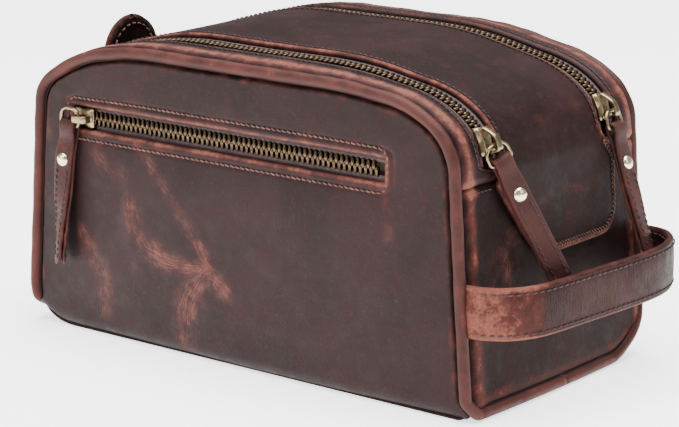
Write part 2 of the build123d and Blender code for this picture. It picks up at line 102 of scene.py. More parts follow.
# ---------------------------------------------------------------- the bag's side outline
def make_outline():
    """Dense points and outward normals round the outline, from the bottom centre towards +X."""
    def wall(z):
        return BOTTOM_HALF - (BOTTOM_HALF - TOP_HALF) * z / HEIGHT

    low = np.array([wall(BOTTOM_RADIUS) - BOTTOM_RADIUS / math.cos(LEAN), BOTTOM_RADIUS])
    high = np.array([wall(HEIGHT - TOP_RADIUS) - TOP_RADIUS / math.cos(LEAN), HEIGHT - TOP_RADIUS])
    pts, nrm = [], []

    def run(a, b, n):
        for t in np.linspace(0, 1, max(2, int(np.hypot(*(b - a)) / 0.5)), endpoint=False):
            pts.append(a + (b - a) * t)
            nrm.append(n)

    def arc(centre, radius, start, end):
        for t in np.linspace(start, end, int(abs(end - start) * radius / 0.5), endpoint=False):
            n = np.array([math.cos(t), math.sin(t)])
            pts.append(centre + radius * n)
            nrm.append(n)

    side = np.array([math.cos(LEAN), math.sin(LEAN)])
    run(np.array([0.0, 0.0]), np.array([low[0], 0.0]), np.array([0.0, -1.0]))
    arc(low, BOTTOM_RADIUS, -math.pi / 2, LEAN)
    run(low + BOTTOM_RADIUS * side, high + TOP_RADIUS * side, side)
    arc(high, TOP_RADIUS, LEAN, math.pi / 2)
    run(np.array([high[0], HEIGHT]), np.array([0.0, HEIGHT]), np.array([0.0, 1.0]))
    half_p, half_n = np.array(pts), np.array(nrm)
    flip = np.array([-1.0, 1.0])
    p = np.vstack([half_p, [[0, HEIGHT]], (half_p[1:] * flip)[::-1], [[0, 0]]])
    n = np.vstack([half_n, [[0, 1]], (half_n[1:] * flip)[::-1], [[0, -1]]])
    s = np.concatenate([[0], np.cumsum(np.hypot(*np.diff(p, axis=0).T))])
    return s, p, n


OUT_S, OUT_P, OUT_N = make_outline()
ROUND = OUT_S[-1]


def rim(s, lift=0.0):
    """Points (x, z) and normals on the outline at lengths s, raised by lift from the outer leather."""
    s = np.mod(np.asarray(s, float), ROUND)
    n = unit(np.stack([np.interp(s, OUT_S, OUT_N[:, 0]), np.interp(s, OUT_S, OUT_N[:, 1])], -1))
    p = np.stack([np.interp(s, OUT_S, OUT_P[:, 0]), np.interp(s, OUT_S, OUT_P[:, 1])], -1)
    return p + n * np.asarray(lift)[..., None], n


def station(x=None, z=None, right=True):
    """The length round the outline where it passes x on the top, or z on an end wall."""
    half = OUT_S <= ROUND / 2
    if x is not None:
        top = (OUT_P[:, 1] > HEIGHT - TOP_RADIUS)
        i = np.argmin(np.where(top, np.abs(OUT_P[:, 0] - x), 1e9))
    else:
        wallish = (half if right else ~half) & (np.abs(OUT_P[:, 0]) > 60)
        i = np.argmin(np.where(wallish, np.abs(OUT_P[:, 1] - z), 1e9))
    return OUT_S[i]


SEAM_RIGHT, SEAM_LEFT = station(z=SEAM_Z), station(z=SEAM_Z, right=False)
TONGUE_END = station(z=TONGUE_BOTTOM)
FOOT = float(np.interp(0.63, -np.arctan2(OUT_N[:, 1], OUT_N[:, 0])[OUT_S < 160][::-1],
                       OUT_S[OUT_S < 160][::-1]))


def settle(p):
    """How the soft body sits: a crowned top, bottom edges that lift off the floor and a full left end."""
    p = np.array(p, float)
    x, y, z = p[..., 0].copy(), p[..., 1].copy(), p[..., 2].copy()
    top = smooth(104, 138, z) * (1 - smooth(30, 98, np.abs(x)))
    crown = 4.6 * (1 - ((y - 24) / 90) ** 2) - 1.2 * smooth(38, 66, -y)
    shoulder = np.where(x > 0, 4.6 * hump(94, 28, x), 7.0 * hump(-99, 30, x)) * smooth(106, 132, z)
    foot = 1 - smooth(0, 62, z)
    rise = (6.0 + 6.0 * smooth(80, 125, np.abs(x))) * smooth(40, 72, y)
    p[..., 2] += top * crown + foot * rise - shoulder + 0.5 * top * ripple(p, 60)
    full = (1 - (y / 72) ** 2) * hump(52, 40, z)
    p[..., 0] += np.where(x > 0, 0.7, -2.0) * full * smooth(90, 118, np.abs(x))
    p[..., 0] += 2.4 * (1 - (y / 76) ** 2) * hump(8, 28, z) * smooth(90, 118, x)
    corner = smooth(98, 126, -x) * (1 - smooth(0, 24, z))
    p[..., 2] += 6.0 * corner * corner
    p[..., 0] += 3.5 * corner * corner
    p[..., 0] -= (1.7 + 0.8 * hump(22, 26, z)) * smooth(95, 120, -x)
    return p


def band(s, y, lift=0.0, relax=True):
    """Points on the band that wraps the bag: s round the outline, y across it. Arrays of one shape."""
    s, y = np.broadcast_arrays(np.asarray(s, float), np.asarray(y, float))
    q = rim(s, np.broadcast_to(np.asarray(lift, float), s.shape))[0]
    p = np.stack([q[..., 0], y, q[..., 1]], -1)
    return settle(p) if relax else p


# ---------------------------------------------------------------- meshes
def to_mesh(name, verts, faces, material, body=None, replaces=(), slot=None, wear=None, scuff=None,
            flow=None):
    """A mesh object in metres, with what its material reads kept on its vertices."""
    me = bpy.data.meshes.new(name)
    verts = np.asarray(verts, float).reshape(-1, 3)
    me.from_pydata((verts * MM).tolist(), [], [list(map(int, f)) for f in faces])
    bm = bmesh.new()
    bm.from_mesh(me)
    bmesh.ops.recalc_face_normals(bm, faces=bm.faces)
    bm.to_mesh(me)
    bm.free()
    me.polygons.foreach_set("use_smooth", [True] * len(me.polygons))
    for key, value in (("wear", wear), ("scuff", scuff)):
        a = me.attributes.new(key, "FLOAT", "POINT")
        a.data.foreach_set("value", np.zeros(len(verts), np.float32) if value is None
                           else np.asarray(value, np.float32).ravel())
    across = verts if flow is None else np.stack([flow[0], flow[1], verts[:, 1]], -1)
    for key, value in (("rest", verts), ("flow", across)):
        a = me.attributes.new(key, "FLOAT_VECTOR", "POINT")
        a.data.foreach_set("vector", (value * MM).astype(np.float32).ravel())
    me.materials.append(material)
    o = bpy.data.objects.new(name, me)
    bpy.context.scene.collection.objects.link(o)
    if replaces:
        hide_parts(*replaces)
    if body:
        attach(o, body)
    return o


def join_shapes(shapes):
    """One vertex array and face list from several (verts, faces)."""
    verts, faces, base = [], [], 0
    for v, f in shapes:
        verts.append(np.asarray(v, float).reshape(-1, 3))
        faces += [[i + base for i in q] for q in f]
        base += len(verts[-1])
    return np.vstack(verts), faces


def grid_faces(rows, cols, base=0, closed=False):
    """Quads over rows of cols points, each row a ring. Both ends are capped unless the rows close too."""
    faces = []
    for i in range(rows if closed else rows - 1):
        a, b = base + i * cols, base + (i + 1) % rows * cols
        faces += [(a + j, a + (j + 1) % cols, b + (j + 1) % cols, b + j) for j in range(cols)]
    if not closed:
        last = base + (rows - 1) * cols
        faces += [tuple(range(base, base + cols)), tuple(reversed(range(last, last + cols)))]
    return faces


def surface_normals(p, closed):
    """Unit normals of a grid of points."""
    du = np.roll(p, -1, 0) - np.roll(p, 1, 0) if closed else np.gradient(p, axis=0)
    return unit(np.cross(du, np.gradient(p, axis=1)))


def ladder(ring):
    """Faces that fill a loop split like rounded_rect: strips across it, and one face at each end."""
    turn = COUNT_X + COUNT_Z
    low, top = ring[:COUNT_X + 1], ring[np.arange(turn + COUNT_X, turn - 1, -1)]
    faces = [(low[i], low[i + 1], top[i + 1], top[i]) for i in range(COUNT_X)]
    return faces + [tuple(ring[COUNT_X:turn + 1]), (*ring[turn + COUNT_X:], ring[0])]


def sheet(grid, thickness, outward, closed=False, values=(), filled=False):
    """A closed solid of even thickness under a grid of outer points, with rounded rims.

    outward is a direction, or one per point, on the outer side. values are per-point arrays to carry along.
    A filled sheet has no hole inside its last loop, which is split like rounded_rect.
    """
    p = np.asarray(grid, float)
    n = surface_normals(p, closed)
    n *= np.where((n * np.asarray(outward, float)).sum(-1) < 0, -1, 1)[..., None]
    t = np.broadcast_to(np.asarray(thickness, float), p.shape[:2])[..., None]
    vals = [np.broadcast_to(np.asarray(v, float), p.shape[:2]) for v in values]
    if not closed:
        ahead, behind = unit(p[0] - p[1]), unit(p[-1] - p[-2])
        first = p[0] - n[0] * t[0] * 0.32 + ahead * t[0] * 0.3
        last = p[-1] - n[-1] * t[-1] * 0.32 + behind * t[-1] * 0.3
        p = np.concatenate([first[None], p, last[None]])
        n = np.concatenate([n[:1], n, n[-1:]])
        t = np.concatenate([t[:1] * 0.36, t, t[-1:] * 0.36])
        vals = [np.concatenate([v[:1], v, v[-1:]]) for v in vals]
    inner = p - n * t
    left, right = unit(p[:, 0] - p[:, 1]), unit(p[:, -1] - p[:, -2])
    rim_a = (p[:, 0] + inner[:, 0]) / 2 + left * t[:, 0] * 0.36
    rim_b = (p[:, -1] + inner[:, -1]) / 2 + right * t[:, -1] * 0.36
    turned = 0 if filled else 1
    loops = np.concatenate([p, rim_b[:, None][:, :turned], inner[:, ::-1], rim_a[:, None]], axis=1)
    rows, cols = loops.shape[:2]
    faces = grid_faces(rows, cols, closed=closed)
    if filled:
        last, ring = p.shape[1] - 1, np.arange(rows) * cols
        faces = [q for q in faces if q[0] % cols != last] + ladder(ring + last) + ladder(ring + last + 1)
    out = [np.concatenate([v, v[:, -1:][:, :turned], v[:, ::-1], v[:, :1]], axis=1).ravel() for v in vals]
    return loops.reshape(-1, 3), faces, out


def frames_along(path, closed=False, up=None):
    """Tangent, side and up vectors along a path, turning as little as they can, or kept to up."""
    path = np.asarray(path, float)
    t = unit(np.roll(path, -1, 0) - np.roll(path, 1, 0)) if closed else unit(np.gradient(path, axis=0))
    if up is not None:
        up = np.broadcast_to(np.asarray(up, float), path.shape)
        side = unit(np.cross(t, up))
        return t, side, np.cross(side, t)
    side = np.zeros_like(t)
    ref = np.array([0.0, 0.0, 1.0]) if abs(t[0][2]) < 0.9 else np.array([1.0, 0.0, 0.0])
    side[0] = unit(np.cross(t[0], ref))
    for i in range(1, len(t)):
        side[i] = unit(side[i - 1] - t[i] * side[i - 1].dot(t[i]))
    return t, side, np.cross(side, t)


def sweep(path, section, closed=False, up=None, scale=None):
    """A solid with section points (side, up) swept along path."""
    path, section = np.asarray(path, float), np.asarray(section, float)
    _, side, over = frames_along(path, closed, up)
    k = np.ones(len(path)) if scale is None else np.asarray(scale, float)
    ring = (path[:, None] + section[None, :, :1] * side[:, None] * k[:, None, None]
            + section[None, :, 1:] * over[:, None] * k[:, None, None])
    return ring.reshape(-1, 3), grid_faces(*ring.shape[:2], closed=closed)


def circle(radius, sides=12):
    a = np.linspace(0, 2 * math.pi, sides, endpoint=False)
    return np.stack([radius * np.cos(a), radius * np.sin(a)], -1)


def resample(path, pitch=None, count=None, closed=False):
    """Evenly spaced points along a path of points."""
    path = np.asarray(path, float)
    if closed:
        path = np.vstack([path, path[:1]])
    d = np.concatenate([[0], np.cumsum(np.linalg.norm(np.diff(path, axis=0), axis=1))])
    count = count or max(2, int(round(d[-1] / pitch)) + 1)
    at = np.linspace(0, d[-1], count, endpoint=not closed)
    return np.stack([np.interp(at, d, path[:, k]) for k in range(path.shape[1])], -1)


def stitches(path, normal, pitch=3.0, length=2.2, radius=0.32, slant=0.0, closed=False, sink=0.12):
    """A row of thread stitches lying on a surface: path points with the surface's outward normal at each."""
    path = np.asarray(path, float)
    normal = np.broadcast_to(np.asarray(normal, float), path.shape)
    both = resample(np.hstack([path, normal]), pitch=pitch, closed=closed)
    p, n = both[:, :3], unit(both[:, 3:])
    t = unit(np.roll(p, -1, 0) - np.roll(p, 1, 0)) if closed else unit(np.gradient(p, axis=0))
    side = np.cross(n, t)
    along = unit(t * math.cos(slant) + side * math.sin(slant))
    across = np.cross(n, along)
    shapes = []
    stations = np.array([-1, -0.86, -0.45, 0, 0.45, 0.86, 1])
    girth = np.array([0.35, 0.8, 1, 1, 1, 0.8, 0.35])
    ang = np.linspace(0, 2 * math.pi, 6, endpoint=False)
    for c, a, b, u in zip(p, along, across, n):
        rise = radius * (1 - 1.5 * stations ** 4) - sink
        mid = c + np.outer(stations * length / 2, a) + np.outer(rise, u)
        ring = (mid[:, None] + (np.cos(ang)[None, :, None] * b + np.sin(ang)[None, :, None] * u)
                * (girth * radius)[:, None, None])
        shapes.append((ring.reshape(-1, 3), grid_faces(*ring.shape[:2])))
    return shapes


def sew(name, rows, thread, body="bag_body"):
    """One object from the stitches of a seam."""
    return to_mesh(name, *join_shapes(rows), thread, body)


def bend_with_lid(o):
    """Bake a piece's placement into its mesh; it is not made to turn with the lid."""
    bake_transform(o)


def swing_with_handle(o):
    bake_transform(o)


def skin(name, material, nodes, p, outward, wear, scuffed=None, body="bag_body", **shape):
    """A piece of the bag's leather, with its wear and what scuff_mask gives for it."""
    extra = () if scuffed is None else (scuffed[0], scuffed[1][..., 0], scuffed[1][..., 1])
    v, f, (worn, *marks) = sheet(p, SKIN, outward, values=(wear, *extra), **shape)
    scuff, flow = (marks[0], marks[1:]) if marks else (None, None)
    return to_mesh(name, v, f, material, body, nodes, "bag_leather", worn, scuff, flow)


# ---------------------------------------------------------------- materials
class Nodes:
    """A material being made: node(kind, socket=value or another node's socket)."""

    def __init__(self, name, diffuse=(0.1, 0.05, 0.04)):
        self.material = bpy.data.materials.new(name)
        self.material.use_nodes = True
        self.material.diffuse_color = (*diffuse, 1)
        self.tree = self.material.node_tree
        self.tree.nodes.clear()
        self.shader = self.node("ShaderNodeBsdfPrincipled")
        out = self.node("ShaderNodeOutputMaterial")
        self.tree.links.new(self.shader.outputs[0], out.inputs[0])

    def node(self, kind, **values):
        n = self.tree.nodes.new(kind)
        for key, value in values.items():
            if hasattr(n, key) and not isinstance(value, bpy.types.NodeSocket):
                setattr(n, key, value)
            else:
                self.put(n.inputs[key.replace("_", " ")], value)
        return n

    def put(self, socket, value):
        if isinstance(value, bpy.types.NodeSocket):
            self.tree.links.new(value, socket)
        else:
            socket.default_value = value

    def attribute(self, name):
        n = self.node("ShaderNodeAttribute", attribute_name=name)
        return n.outputs["Vector" if name in ("rest", "flow") else "Fac"]

    def stretched(self, vector, scale, turn=(0, 0, 0)):
        n = self.node("ShaderNodeMapping", Vector=vector)
        n.inputs["Scale"].default_value = scale
        n.inputs["Rotation"].default_value = turn
        return n.outputs[0]

    def noise(self, vector, scale, detail=3.0, rough=0.5, distort=0.0):
        return self.node("ShaderNodeTexNoise", Vector=vector, Scale=scale, Detail=detail, Roughness=rough,
                         Distortion=distort).outputs["Fac"]

    def cells(self, vector, scale, feature="F1"):
        return self.node("ShaderNodeTexVoronoi", feature=feature, Vector=vector,
                         Scale=scale).outputs["Distance"]

    def math(self, op, a, b=0.0):
        n = self.node("ShaderNodeMath", operation=op)
        self.put(n.inputs[0], a)
        self.put(n.inputs[1], b)
        return n.outputs[0]

    def plus(self, a, b):
        return self.math("ADD", a, b)

    def times(self, a, b):
        return self.math("MULTIPLY", a, b)

    def span(self, value, low, high, to_low=0.0, to_high=1.0):
        n = self.node("ShaderNodeMapRange", interpolation_type="SMOOTHSTEP")
        for k, v in zip(("Value", "From Min", "From Max", "To Min", "To Max"),
                        (value, low, high, to_low, to_high)):
            self.put(n.inputs[k], v)
        return n.outputs[0]

    def mix(self, factor, a, b):
        n = self.node("ShaderNodeMix", data_type="RGBA")
        for i, v in ((0, factor), (6, a), (7, b)):
            self.put(n.inputs[i], v if isinstance(v, (bpy.types.NodeSocket, float, int)) else (*v, 1))
        return n.outputs[2]

    def bump(self, *layers):
        """Bumps on one another: each layer is (height socket, strength, depth in metres)."""
        normal = None
        for height, strength, depth in layers:
            b = self.node("ShaderNodeBump", Height=height, Strength=strength, Distance=depth)
            if normal is not None:
                self.put(b.inputs["Normal"], normal)
            normal = b.outputs[0]
        self.put(self.shader.inputs["Normal"], normal)

    def finish(self, colour, roughness, **constant):
        self.put(self.shader.inputs["Base Color"], colour)
        self.put(self.shader.inputs["Roughness"], roughness)
        for key, value in constant.items():
            self.shader.inputs[key.replace("_", " ")].default_value = value
        return self.material


def leather(name, dark, mid, worn, tan, rough=(0.4, 0.66), grain=1.0, base_wear=0.0, crease=0.0, seed=0.0,
            sheen=0.19):
    """Oiled pull-up leather: mottled dark brown, red-brown where it is rubbed and tan where it creases."""
    m = Nodes(name, mid)
    rest = m.stretched(m.attribute("rest"), (1, 1, 1), (0.0, 0.0, seed))
    broad = m.noise(rest, 21.0, 3.0, 0.55, 0.6)
    middle = m.noise(rest, 130.0, 6.0, 0.68)
    fine = m.noise(rest, 720.0, 4.0, 0.6)
    hair = m.noise(m.stretched(m.attribute("flow"), (150, 2000, 150)), 1.0, 4.0, 0.6, 0.8)
    wear = m.plus(m.attribute("wear"), base_wear)
    patchy = m.noise(rest, 120.0, 4.0, 0.6)
    scuff = m.times(m.attribute("scuff"), m.span(patchy, 0.3, 0.7, 0.3, 1.15))
    body = m.mix(m.span(broad, 0.32, 0.7), dark, mid)
    body = m.mix(m.times(m.span(middle, 0.5, 0.78), 0.22), body, worn)
    rubbed = m.plus(wear, m.times(m.math("SUBTRACT", middle, 0.52), 1.35))
    rubbed = m.times(m.span(rubbed, 0.22, 0.95), m.span(wear, 0.02, 0.3))
    body = m.mix(rubbed, body, worn)
    body = m.mix(m.times(m.span(m.plus(rubbed, fine), 1.1, 1.65), 0.55), body, tan)
    lines = m.times(m.span(m.plus(hair, m.times(scuff, 0.14)), 0.54, 0.74), m.span(scuff, 0.08, 0.75))
    body = m.mix(m.times(m.span(scuff, 0.02, 1.0), 0.7), body, worn)
    body = m.mix(m.times(lines, 0.46), body, tan)
    speck = m.times(m.span(fine, 0.56, 0.74), 0.07)
    body = m.mix(speck, body, tan)
    pores = m.cells(rest, 1150.0, "DISTANCE_TO_EDGE")
    roughness = m.plus(m.span(middle, 0.25, 0.8, rough[0], rough[1]), m.times(rubbed, 0.1))
    layers = [(m.span(pores, 0.0, 0.28), 0.22 * grain, 0.00022), (fine, 0.2 * grain, 0.0003),
              (middle, 0.28, 0.0006), (lines, 0.35, 0.0003)]
    if crease:
        folds = m.noise(m.stretched(rest, (140, 430, 60), (0.1, 0, 0)), 1.0, 5.0, 0.66, 1.8)
        layers.append((m.span(folds, 0.4, 0.62), crease, 0.0008))
        body = m.mix(m.times(m.span(folds, 0.56, 0.7), 0.22), body, worn)
    m.bump(*layers)
    return m.finish(body, roughness, Specular_IOR_Level=sheen, Specular_Tint=(1.0, 0.74, 0.74, 1.0))


DARK, MID = (0.0056, 0.0022, 0.0024), (0.0124, 0.0049, 0.0051)
RED, TAN = (0.085, 0.0245, 0.019), (0.23, 0.088, 0.058)
BAG = leather("Bag_leather", DARK, MID, RED, TAN)
END = leather("End_leather", (0.0045, 0.0017, 0.0017), (0.0105, 0.0038, 0.0037), RED, TAN, (0.5, 0.75),
              seed=0.6, sheen=0.1)
PIPING = leather("Piping_leather", (0.026, 0.0088, 0.0074), (0.06, 0.019, 0.0145), RED, TAN, base_wear=0.12,
                 seed=1.1)
HANDLE = leather("Handle_leather", (0.0085, 0.0033, 0.0028), (0.021, 0.0075, 0.006), RED, TAN, base_wear=0.0,
                 crease=0.26, seed=0.2, sheen=0.1)
PULL = leather("Pull_leather", (0.017, 0.0062, 0.0055), (0.04, 0.0135, 0.011), RED, TAN, base_wear=0.06,
               grain=2.0, seed=2.0)


def thread(name, light, dark):
    m = Nodes(name, light)
    rest = m.attribute("rest")
    twist = m.noise(m.stretched(rest, (1500, 1500, 900), (0.4, 0.3, 0.5)), 1.0, 2.0)
    worn = m.noise(rest, 210.0, 3.0, 0.7)
    m.bump((twist, 0.5, 0.0002))
    return m.finish(m.mix(m.span(m.plus(worn, m.times(twist, 0.4)), 0.5, 0.9), dark, light),
                    m.span(twist, 0.3, 0.7, 0.6, 0.9))


THREAD = thread("Tan_thread", (0.16, 0.07, 0.05), (0.06, 0.024, 0.018))
THREAD_DARK = thread("Dark_thread", (0.045, 0.018, 0.015), (0.014, 0.007, 0.0065))


def brass(name, bright, patina, rough=(0.2, 0.45)):
    m = Nodes(name, bright)
    m.shader.inputs["Metallic"].default_value = 1.0
    rest = m.attribute("rest")
    blot = m.noise(rest, 330.0, 5.0, 0.7)
    fine = m.noise(rest, 1900.0, 3.0, 0.6)
    old = m.plus(m.times(blot, 0.8), m.times(m.attribute("wear"), 0.7))
    m.bump((fine, 0.12, 0.0001), (blot, 0.12, 0.0002))
    return m.finish(m.mix(m.span(old, 0.35, 1.0), bright, patina), m.span(blot, 0.3, 0.75, *rough))


BRASS = brass("Antique_brass", (0.27, 0.2, 0.115), (0.035, 0.024, 0.016))
TEETH = brass("Tooth_brass", (0.1, 0.066, 0.038), (0.014, 0.0085, 0.006), (0.22, 0.45))
RIVET = brass("Rivet_metal", (0.86, 0.74, 0.52), (0.5, 0.4, 0.25), (0.14, 0.3))


def cloth(name, light, dark, pitch, roughness=0.9, sheen=0.2):
    """Woven cloth or tape: crossed threads at that pitch in metres."""
    m = Nodes(name, light)
    rest = m.attribute("rest")
    parts = m.node("ShaderNodeSeparateXYZ", Vector=rest)
    k = 2 * math.pi / pitch
    a = m.plus(parts.outputs[0], m.times(parts.outputs[1], 0.9))
    b = m.math("SUBTRACT", m.plus(parts.outputs[0], parts.outputs[2]), m.times(parts.outputs[1], 0.9))
    weave = m.times(m.math("SINE", m.times(a, k)), m.math("SINE", m.times(b, k)))
    uneven = m.noise(rest, 240.0, 4.0, 0.6)
    tone = m.plus(m.times(weave, 0.3), uneven)
    m.bump((weave, 0.4, 0.0002), (uneven, 0.2, 0.0003))
    return m.finish(m.mix(m.span(tone, 0.25, 0.85), dark, light),
                    m.span(uneven, 0.2, 0.8, roughness - 0.1, roughness),
                    Sheen_Weight=sheen, Sheen_Roughness=0.5)


TAPE = cloth("Zip_tape", (0.085, 0.045, 0.043), (0.025, 0.0125, 0.012), 0.0011, sheen=0.08)
LINING = cloth("Lining_cloth", (0.19, 0.13, 0.085), (0.1, 0.066, 0.044), 0.0009)
CORD = cloth("Cord_fibre", (0.55, 0.48, 0.38), (0.33, 0.28, 0.21), 0.0014)
BOARD = cloth("Base_board_fibre", (0.2, 0.15, 0.1), (0.12, 0.085, 0.06), 0.003, 0.95, 0.0)


# ---------------------------------------------------------------- front and back panels
def panel_depth(x, z, inset, near_window, turn=7.0):
    """How far the panel stands out of its plane: padded in the middle, rolled down into the piping seam."""
    belly = 3.0 * np.clip(1 - (x / 118) ** 4, 0, 1) * np.clip(1 - ((z - 58) / 76) ** 2, 0, 1) ** 1.3
    belly = belly * (1 - 0.75 * near_window * hump(POCKET_Z, 16, z))
    beside = np.where(z < 20, BOTTOM_HALF - 0.064 * z - np.abs(x) + 6 * (1 - smooth(2, 12, z)), inset)
    seam = -2.6 * (1 - smooth(0.0, 1.9, beside - PANEL_INSET))
    roll = 7.0 + (turn - 7.0) * smooth(88, 120, np.abs(x))
    under = np.clip(1 - z / roll, 0, 1)
    seam = seam - roll * (1 - np.sqrt(1 - under ** 2))
    return (belly + seam + 0.45 * ripple(np.stack([x, 0 * x, z], -1), 75)
            + 0.12 * ripple(np.stack([x, 0 * x + 9, z], -1), 19))


def rounded_rect(x0, x1, z0, z1, corner, out, count_x=COUNT_X, count_z=COUNT_Z):
    """A loop anticlockwise from the lower left corner's middle, with count_x points along the long sides."""
    x0, x1, z0, z1, r = x0 - out, x1 + out, z0 - out, z1 + out, corner + out
    sides = []
    corners = [(x0 + r, z0 + r), (x1 - r, z0 + r), (x1 - r, z1 - r), (x0 + r, z1 - r)]
    for k in range(4):
        (ax, az), (bx, bz) = corners[k], corners[(k + 1) % 4]
        a0 = math.radians((225, 315, 45, 135)[k])
        a1 = np.linspace(a0, a0 + math.pi / 4, 4)
        a2 = np.linspace(a0 + math.pi / 4, a0 + math.pi / 2, 4)
        side = np.vstack([np.stack([ax + r * np.cos(a1), az + r * np.sin(a1)], -1),
                          np.stack([bx + r * np.cos(a2), bz + r * np.sin(a2)], -1)])
        sides.append(resample(side, count=(count_x if k % 2 == 0 else count_z) + 1)[:-1])
    return np.vstack(sides)


def shrink(loops, far, steps):
    """The loops, and then the steps that turn the last of them into far."""
    near = loops[-1]
    return loops + [near * (1 - t) + far * t for t in np.arange(1, steps + 1) / steps]


def outline_loop(inset):
    """The bag's outline moved in by inset, split to the same corners and counts as rounded_rect."""
    stops = [station(z=3.0, right=False), station(z=3.0) + ROUND, station(x=103.0) + ROUND,
             station(x=-103.0) + ROUND, station(z=3.0, right=False) + ROUND]
    out = []
    for k in range(4):
        n = COUNT_X if k % 2 == 0 else COUNT_Z
        q = rim(np.linspace(stops[k], stops[k + 1], 6 * n), -np.full(6 * n, float(inset)))[0]
        low = q[:, 1] < 45
        reach = BOTTOM_HALF - (BOTTOM_HALF - TOP_HALF) * q[:, 1] / HEIGHT - inset
        q[:, 0] = np.where(low, np.clip(q[:, 0], -reach, reach), q[:, 0])
        q[:, 1] = np.maximum(q[:, 1], inset)
        out.append(resample(q, count=n + 1)[:-1])
    return np.vstack(out)


SCUFFS = [  # where the front panel's leather has been creased: a line over it, its half-width and strength
    ([(-61, 66), (-59, 56), (-52, 48), (-42, 44), (-30, 43), (-18, 44), (-11, 41), (-5, 36)], 4.2, 0.95),
    ([(-20, 53), (-15, 46), (-10, 40), (-7, 36)], 3.4, 1.0),
    ([(-15, 44), (-20, 36), (-25, 28), (-28, 20), (-29, 11)], 5.6, 0.9),
    ([(-24, 32), (-32, 14)], 5.0, 0.45),
    ([(-57, 95), (-49, 87), (-38, 76), (-31, 67), (-22, 56)], 3.2, 0.6),
    ([(-88, 92), (-78, 84), (-66, 78)], 4.0, 0.5),
    ([(-92, 47), (-84, 36), (-78, 27), (-76, 22)], 4.4, 0.75),
    ([(-80, 30), (-79, 14)], 5.0, 0.6),
    ([(-60, 43), (-57, 34)], 2.8, 0.55),
    ([(-118, 100), (-112, 94)], 5.0, 0.55),
    ([(-117, 122), (-111, 116)], 4.0, 0.4),
    ([(82, 112), (84, 96), (86, 74)], 2.2, 0.6),
    ([(-60, 112), (-56, 104)], 4.0, 0.35),
    ([(30, 88), (60, 80)], 5.0, 0.16),
    ([(-95, 14), (-60, 9), (20, 8), (90, 10)], 3.0, 0.22),
]


def scuff_mask(x, z, strokes=SCUFFS):
    """The strongest scuff stroke at each point, and coordinates along and across it for its fine creases."""
    shape = np.broadcast(x, z).shape
    best, along, across = np.zeros(shape), np.zeros(shape), np.zeros(shape)
    for line, width, strength in strokes:
        gone = 0.0
        for (ax, az), (bx, bz) in zip(line[:-1], line[1:]):
            run = math.hypot(bx - ax, bz - az)
            t = ((x - ax) * (bx - ax) + (z - az) * (bz - az)) / run ** 2
            held = np.clip(t, 0, 1)
            d = np.hypot(x - ax - held * (bx - ax), z - az - held * (bz - az))
            value = 0.85 * strength * np.exp(-(d / (1.4 * width)) ** 1.6)
            signed = ((x - ax) * (bz - az) - (z - az) * (bx - ax)) / run
            closer = value > best
            along = np.where(closer, gone + t * run + 0.7 * signed, along)
            across = np.where(closer, signed, across)
            best = np.maximum(best, value)
            gone += run
    return best, np.stack([along, across, 0 * along], -1)


INWARD, MIDDLE = 40.0, 60.0  # what counts as a panel's inset between its edge loops and its middle, and there


def wrap_under(grid, widen=4.2):
    """Carry a panel's lower edge down to the floor, where it turns under the bag."""
    grid[..., 1] -= (PANEL_INSET - 0.6) * (1 - smooth(0, 15, grid[..., 1] - PANEL_INSET))
    low = smooth(104, 121, np.abs(grid[..., 0])) * (1 - smooth(1, 11, grid[..., 1]))
    grid[..., 0] += widen * np.sign(grid[..., 0]) * low
    return grid


def make_front_panel():
    edge = [0, 0.5, 1.0, 1.6, 2.3, 3.2, 4.4, 6.0]
    window = [rounded_rect(*WINDOW, 0.8, w)
              for w in (8.0, 7.0, 6.2, 5.3, 4.6, 3.9, 3.0, 2.2, 1.5, 0.9, 0.4, 0.0)]
    steps = 52
    loops = shrink([outline_loop(PANEL_INSET + e) for e in edge], window[0], steps)[:-1] + window
    grid = wrap_under(np.stack(loops, axis=1))
    x, z = grid[..., 0], grid[..., 1]
    inset = PANEL_INSET + np.concatenate([edge, edge[-1] + INWARD * np.arange(1, steps) / steps])
    inset = np.concatenate([inset, np.full(len(window), MIDDLE)])[None]
    dx = np.maximum(np.maximum(WINDOW[0] - x, x - WINDOW[1]), 0)
    dz = np.maximum(np.maximum(WINDOW[2] - z, z - WINDOW[3]), 0)
    apart = np.hypot(dx, dz)
    stand = panel_depth(x, z, inset, np.exp(-(apart / 22) ** 2))
    stand = (stand - 0.55 * hump(4.6, 0.75, apart) + 0.3 * hump(2.4, 1.3, apart)
             - 0.7 * (1 - smooth(0, 1.3, apart)))
    p = settle(np.stack([x, -PANEL_Y - stand, z], -1))
    wear = 0.8 * hump(0.9, 1.3, apart) + 0.42 * hump(4.6, 2.2, apart)
    wear = wear + 0.45 * hump(PANEL_INSET + 1.6, 2.2, inset) * np.where(z < 12, 0.25, 1.0)
    skin("Front_panel", BAG, ["front_panel"], p, (0, -1, 0), wear, scuff_mask(x, z), closed=True)
    loop = rounded_rect(WINDOW[0] + 1.8, WINDOW[1] - 2.6, WINDOW[2], WINDOW[3], 0.6, 4.6, 220, 30)
    y = -PANEL_Y - panel_depth(loop[:, 0], loop[:, 1], MIDDLE, 1.0) + 0.36
    q = settle(np.stack([loop[:, 0], y, loop[:, 1]], -1))
    sew("Pocket_stitching", stitches(q, (0, -1, 0), 2.9, 2.5, 0.42, slant=-0.28, closed=True, sink=-0.02),
        THREAD)


PANEL_CORE = rounded_rect(-72, 72, 66, 74, 3.5, 0)  # the last loop of a panel or lining that has no opening


